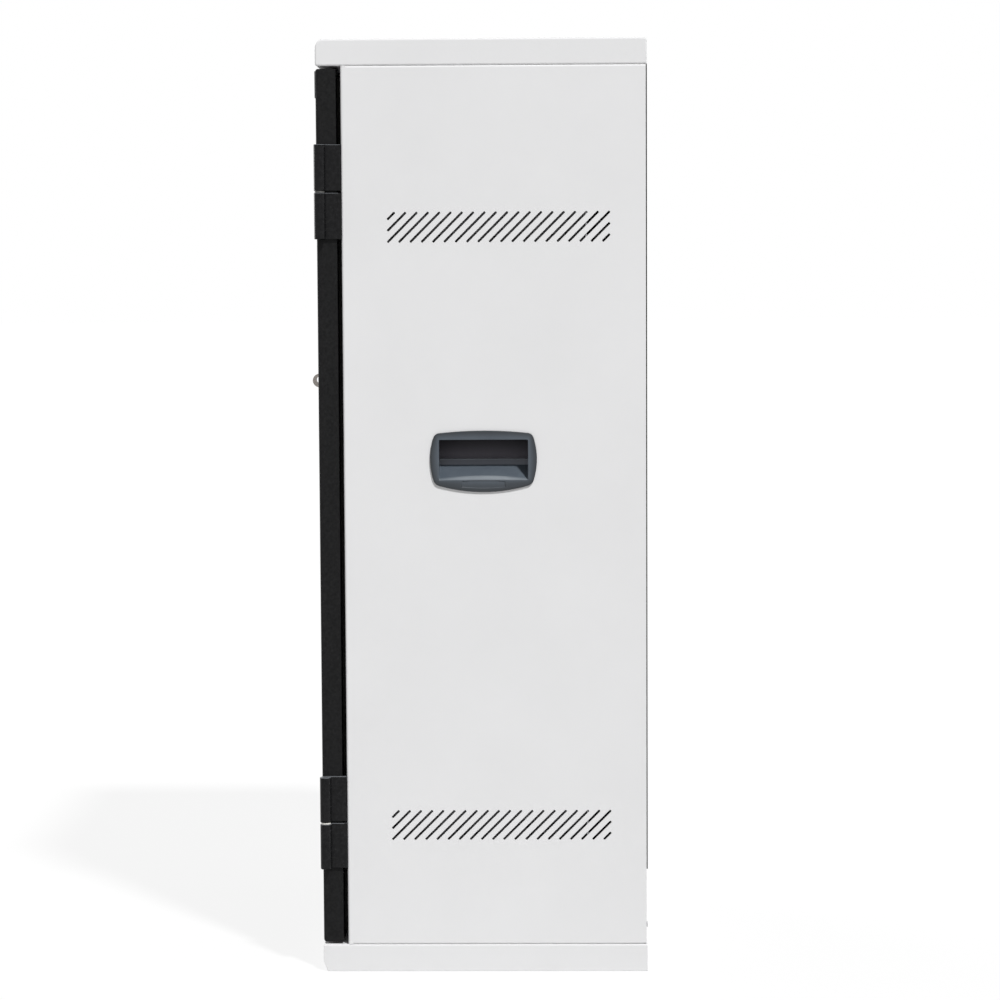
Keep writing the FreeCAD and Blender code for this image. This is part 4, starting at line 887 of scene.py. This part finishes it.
makeScrews(screwForm, "rear_screws", "rearScrewHeads", rearHead)
makeScrews(screwForm, "bulkhead_screws", "bulkheadScrewHeads", bulkheadHead)
print("screws made")


# Nylon washers between the hinge halves, set back a little; the upper one is painted dark, as shade under its
# knuckle

washerForm = {
    "bore": 3.05,
    "setBack": 0.7,
    "rimRadius": 0.45,
    "arcSteps": 4,
    "steps": 40,
    # painted shade makes the upper washer dark
    "tints": {"upper": 0.1, "lower": 0.95},
    "edge": 0.1,
}


def makeWashers(form, node, name):
    shape = bmesh.new()
    found = islands(node)
    topmost = max(high.z for low, high in found)
    for low, high in found:
        middle = (low + high) / 2.0
        thick = (high.z - low.z) / mm
        outer = (high.x - low.x) / 2.0 / mm - form["setBack"]
        rim = form["rimRadius"]
        profile = [(form["bore"], 0.0)]
        for step in range(form["arcSteps"] + 1):
            turn = math.pi / 2.0 * step / form["arcSteps"]
            profile.append((outer - rim + rim * math.sin(turn), rim - rim * math.cos(turn)))
        profile += [(across, thick - up) for across, up in reversed(profile)]
        turned = bmesh.new()
        lathe(turned, profile + profile[:1], form["steps"])
        place = placed((middle.x, middle.y, low.z), (0.0, 0.0, 1.0))
        bmesh.ops.transform(turned, matrix=place, verts=turned.verts)
        tintLayer = turned.verts.layers.float_color.new("shadeTint")
        shadeTint = form["tints"]["upper" if high.z == topmost else "lower"]
        for vert in turned.verts:
            vert[tintLayer] = (shadeTint, shadeTint, shadeTint, 1.0)
        addTo(shape, turned)
    smallBevel(standIn(shape, name, node, "nylon_painted_shade"), form["edge"])


makeWashers(washerForm, "hinge_washers", "hingeWasherDiscs")
print("washers made")


# Foam seal with a rounded back, one closed frame on the door

sealForm = {"width": 8.0, "arcSteps": 10, "edge": 0.2}


def makeSeal(form, node):
    low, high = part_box(node)
    shape = bmesh.new()
    loops = []
    for step in range(form["arcSteps"] + 1):
        turn = math.pi * step / form["arcSteps"]
        inset = form["width"] * mm * (1.0 - math.cos(turn)) / 2.0
        out = low.y + (high.y - low.y) * math.sin(turn)
        corners = [(low.x + inset, low.z + inset), (high.x - inset, low.z + inset),
                   (high.x - inset, high.z - inset), (low.x + inset, high.z - inset)]
        verts = [shape.verts.new((x, out, z)) for x, z in corners]
        loops.append([shape.edges.new((verts[index - 1], verts[index])) for index in range(4)])
    for first, second in zip(loops, loops[1:] + loops[:1]):
        bmesh.ops.bridge_loops(shape, edges=first + second)
    smallBevel(standIn(shape, "doorSealProfile", node), form["edge"])


makeSeal(sealForm, "door_seal")
print("door seal made")


# Signal lamps, their button and the breaker's button, turned

turnedForm = {
    "steps": 28,
    "arcSteps": 6,
    "lampRim": 0.35,          # the dome starts this share of the way out of its seat
    "dish": 0.35,             # how deep the buttons are dished
    "buttonEdge": 0.6,
    "buttonLand": 0.72,       # the dish starts at this share of the radius
    "lampBevel": 0.06,
    "buttonBevel": 0.08,
}


def makeLamps(form, node, name):
    shape = bmesh.new()
    for low, high in islands(node):
        middle = (low + high) / 2.0
        radius = (high.x - low.x) / 2.0 / mm
        depth = (high.y - low.y) / mm
        rise = radius * form["lampRim"]
        profile = [(0.0, -depth), (radius, -depth), (radius, -rise)]
        for step in range(1, form["arcSteps"] + 1):
            turn = math.pi / 2.0 * step / form["arcSteps"]
            profile.append((radius * math.cos(turn), -rise + rise * math.sin(turn)))
        turned = bmesh.new()
        lathe(turned, profile, form["steps"])
        place = placed((middle.x, low.y, middle.z), (0.0, -1.0, 0.0))
        bmesh.ops.transform(turned, matrix=place, verts=turned.verts)
        addTo(shape, turned)
    smallBevel(standIn(shape, name, node), form["lampBevel"])


def makeButton(form, node, name, outwards):
    low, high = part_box(node)
    middle = (low + high) / 2.0
    radius = (high.x - low.x) / 2.0 / mm
    depth = (high.y - low.y) / mm
    edge = form["buttonEdge"]
    land = (radius - edge) * form["buttonLand"]
    profile = [(0.0, -depth), (radius, -depth), (radius, -edge)]
    for step in range(1, form["arcSteps"] + 1):
        turn = math.pi / 2.0 * step / form["arcSteps"]
        profile.append((radius - edge + edge * math.cos(turn), -edge + edge * math.sin(turn)))
    for step in range(form["arcSteps"] + 1):
        share = 1.0 - step / form["arcSteps"]
        profile.append((land * share, -form["dish"] * (1.0 - share ** 2)))
    shape = bmesh.new()
    lathe(shape, profile, form["steps"])
    face = low.y if outwards[1] < 0 else high.y
    bmesh.ops.transform(shape, matrix=placed((middle.x, face, middle.z), outwards), verts=shape.verts)
    smallBevel(standIn(shape, name, node), form["buttonBevel"])


makeLamps(turnedForm, "status_lamps", "statusLampDomes")
makeButton(turnedForm, "manager_button", "managerButtonCap", (0.0, -1.0, 0.0))
makeButton(turnedForm, "breaker_button", "breakerButtonCap", (0.0, 1.0, 0.0))
print("lamps and buttons made")


# Marks on the main rocker, and the plated blades in the mains inlet

rockerForm = {
    "tilt": 12.0,             # each face slopes by this, and so does the rocker at rest
    "pivotDepth": 5.0,
    "markPlace": 5.4,
    "barHalfWidth": 0.45,
    "barHalfHeight": 2.0,
    "ringRadius": 2.0,
    "ringWidth": 0.8,
    "steps": 32,
    "proud": 0.1,
    "sunk": 0.1,
}


def addMark(shape, part, form, up):
    # from the face's own plane to the untilted rocker, then tipped as it rests
    tilt = math.radians(form["tilt"])
    side = math.copysign(1.0, up)
    bmesh.ops.recalc_face_normals(part, faces=part.faces)
    bmesh.ops.solidify(part, geom=part.faces, thickness=form["proud"] + form["sunk"])
    lift = min(vert.co.z for vert in part.verts)
    bmesh.ops.translate(part, vec=(0.0, 0.0, -lift - form["sunk"]), verts=part.verts)
    out = form["pivotDepth"] + abs(up) * math.tan(tilt)
    onFace = Matrix.Translation((0.0, out, up)) @ Matrix.Rotation(-side * tilt, 4, "X") @ \
        Matrix.Rotation(-math.pi / 2.0, 4, "X")
    bmesh.ops.transform(part, matrix=Matrix.Rotation(tilt, 4, "X") @ onFace, verts=part.verts)
    addTo(shape, part)


def makeRockerMarks(form, node):
    joints = frame["record"]["behaviour"]["joints"]
    pivot = next(Vector(joint["pos_m"]) for joint in joints if joint["child"] == nodeBody[node])
    shape = bmesh.new()
    ring = bmesh.new()
    loops = []
    for radius in (form["ringRadius"], form["ringRadius"] - form["ringWidth"]):
        verts = bmesh.ops.create_circle(ring, cap_ends=False, segments=form["steps"], radius=radius)["verts"]
        loops += edgesOf(verts)
    bmesh.ops.bridge_loops(ring, edges=loops)
    addMark(shape, ring, form, form["markPlace"])
    bar = bmesh.new()
    bmesh.ops.create_grid(bar, x_segments=1, y_segments=3, size=1.0)
    bmesh.ops.scale(bar, vec=(form["barHalfWidth"], form["barHalfHeight"], 1.0), verts=bar.verts)
    addMark(shape, bar, form, -form["markPlace"])
    bmesh.ops.transform(shape, matrix=Matrix.Translation(pivot) @ Matrix.Scale(mm, 4), verts=shape.verts)
    newPiece(shape, "rockerMarks", "white_plastic", nodeBody[node])


inletForm = {
    "pinPlaces": [(-7.0, -2.0), (7.0, -2.0), (0.0, 2.0)],
    "pinHalfWidth": 1.1,
    "pinHalfHeight": 2.1,
    "pinInset": 2.4,          # from the mouth to the blades' tips
    "cavityDepth": 16.4,
    "tipRadius": 0.7,
    "tipSteps": 4,
    "edge": 0.15,
}


def makeInletPins(form, node):
    low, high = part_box(node)
    middle = (low + high) / 2.0
    shape = bmesh.new()
    for across, up in form["pinPlaces"]:
        half = (form["cavityDepth"] - form["pinInset"]) / 2.0
        verts = bmesh.ops.create_cube(shape, size=2.0)["verts"]
        bmesh.ops.scale(shape, vec=(form["pinHalfWidth"], half, form["pinHalfHeight"]), verts=verts)
        tip = [edge for edge in edgesOf(verts) if min(vert.co.y for vert in edge.verts) > half - nearly]
        bmesh.ops.translate(shape, vec=(across, -form["pinInset"] - half, up), verts=verts)
        roundEdges(shape, tip, form["tipRadius"], form["tipSteps"])
    place = Matrix.Translation((middle.x, high.y, middle.z)) @ Matrix.Scale(mm, 4)
    bmesh.ops.transform(shape, matrix=place, verts=shape.verts)
    smallBevel(newPiece(shape, "inletPinBlades", "zinc_steel", nodeBody[node]), form["edge"])


makeRockerMarks(rockerForm, "main_switch_rocker")
makeInletPins(inletForm, "mains_inlet")
print("rocker marks and inlet blades made")
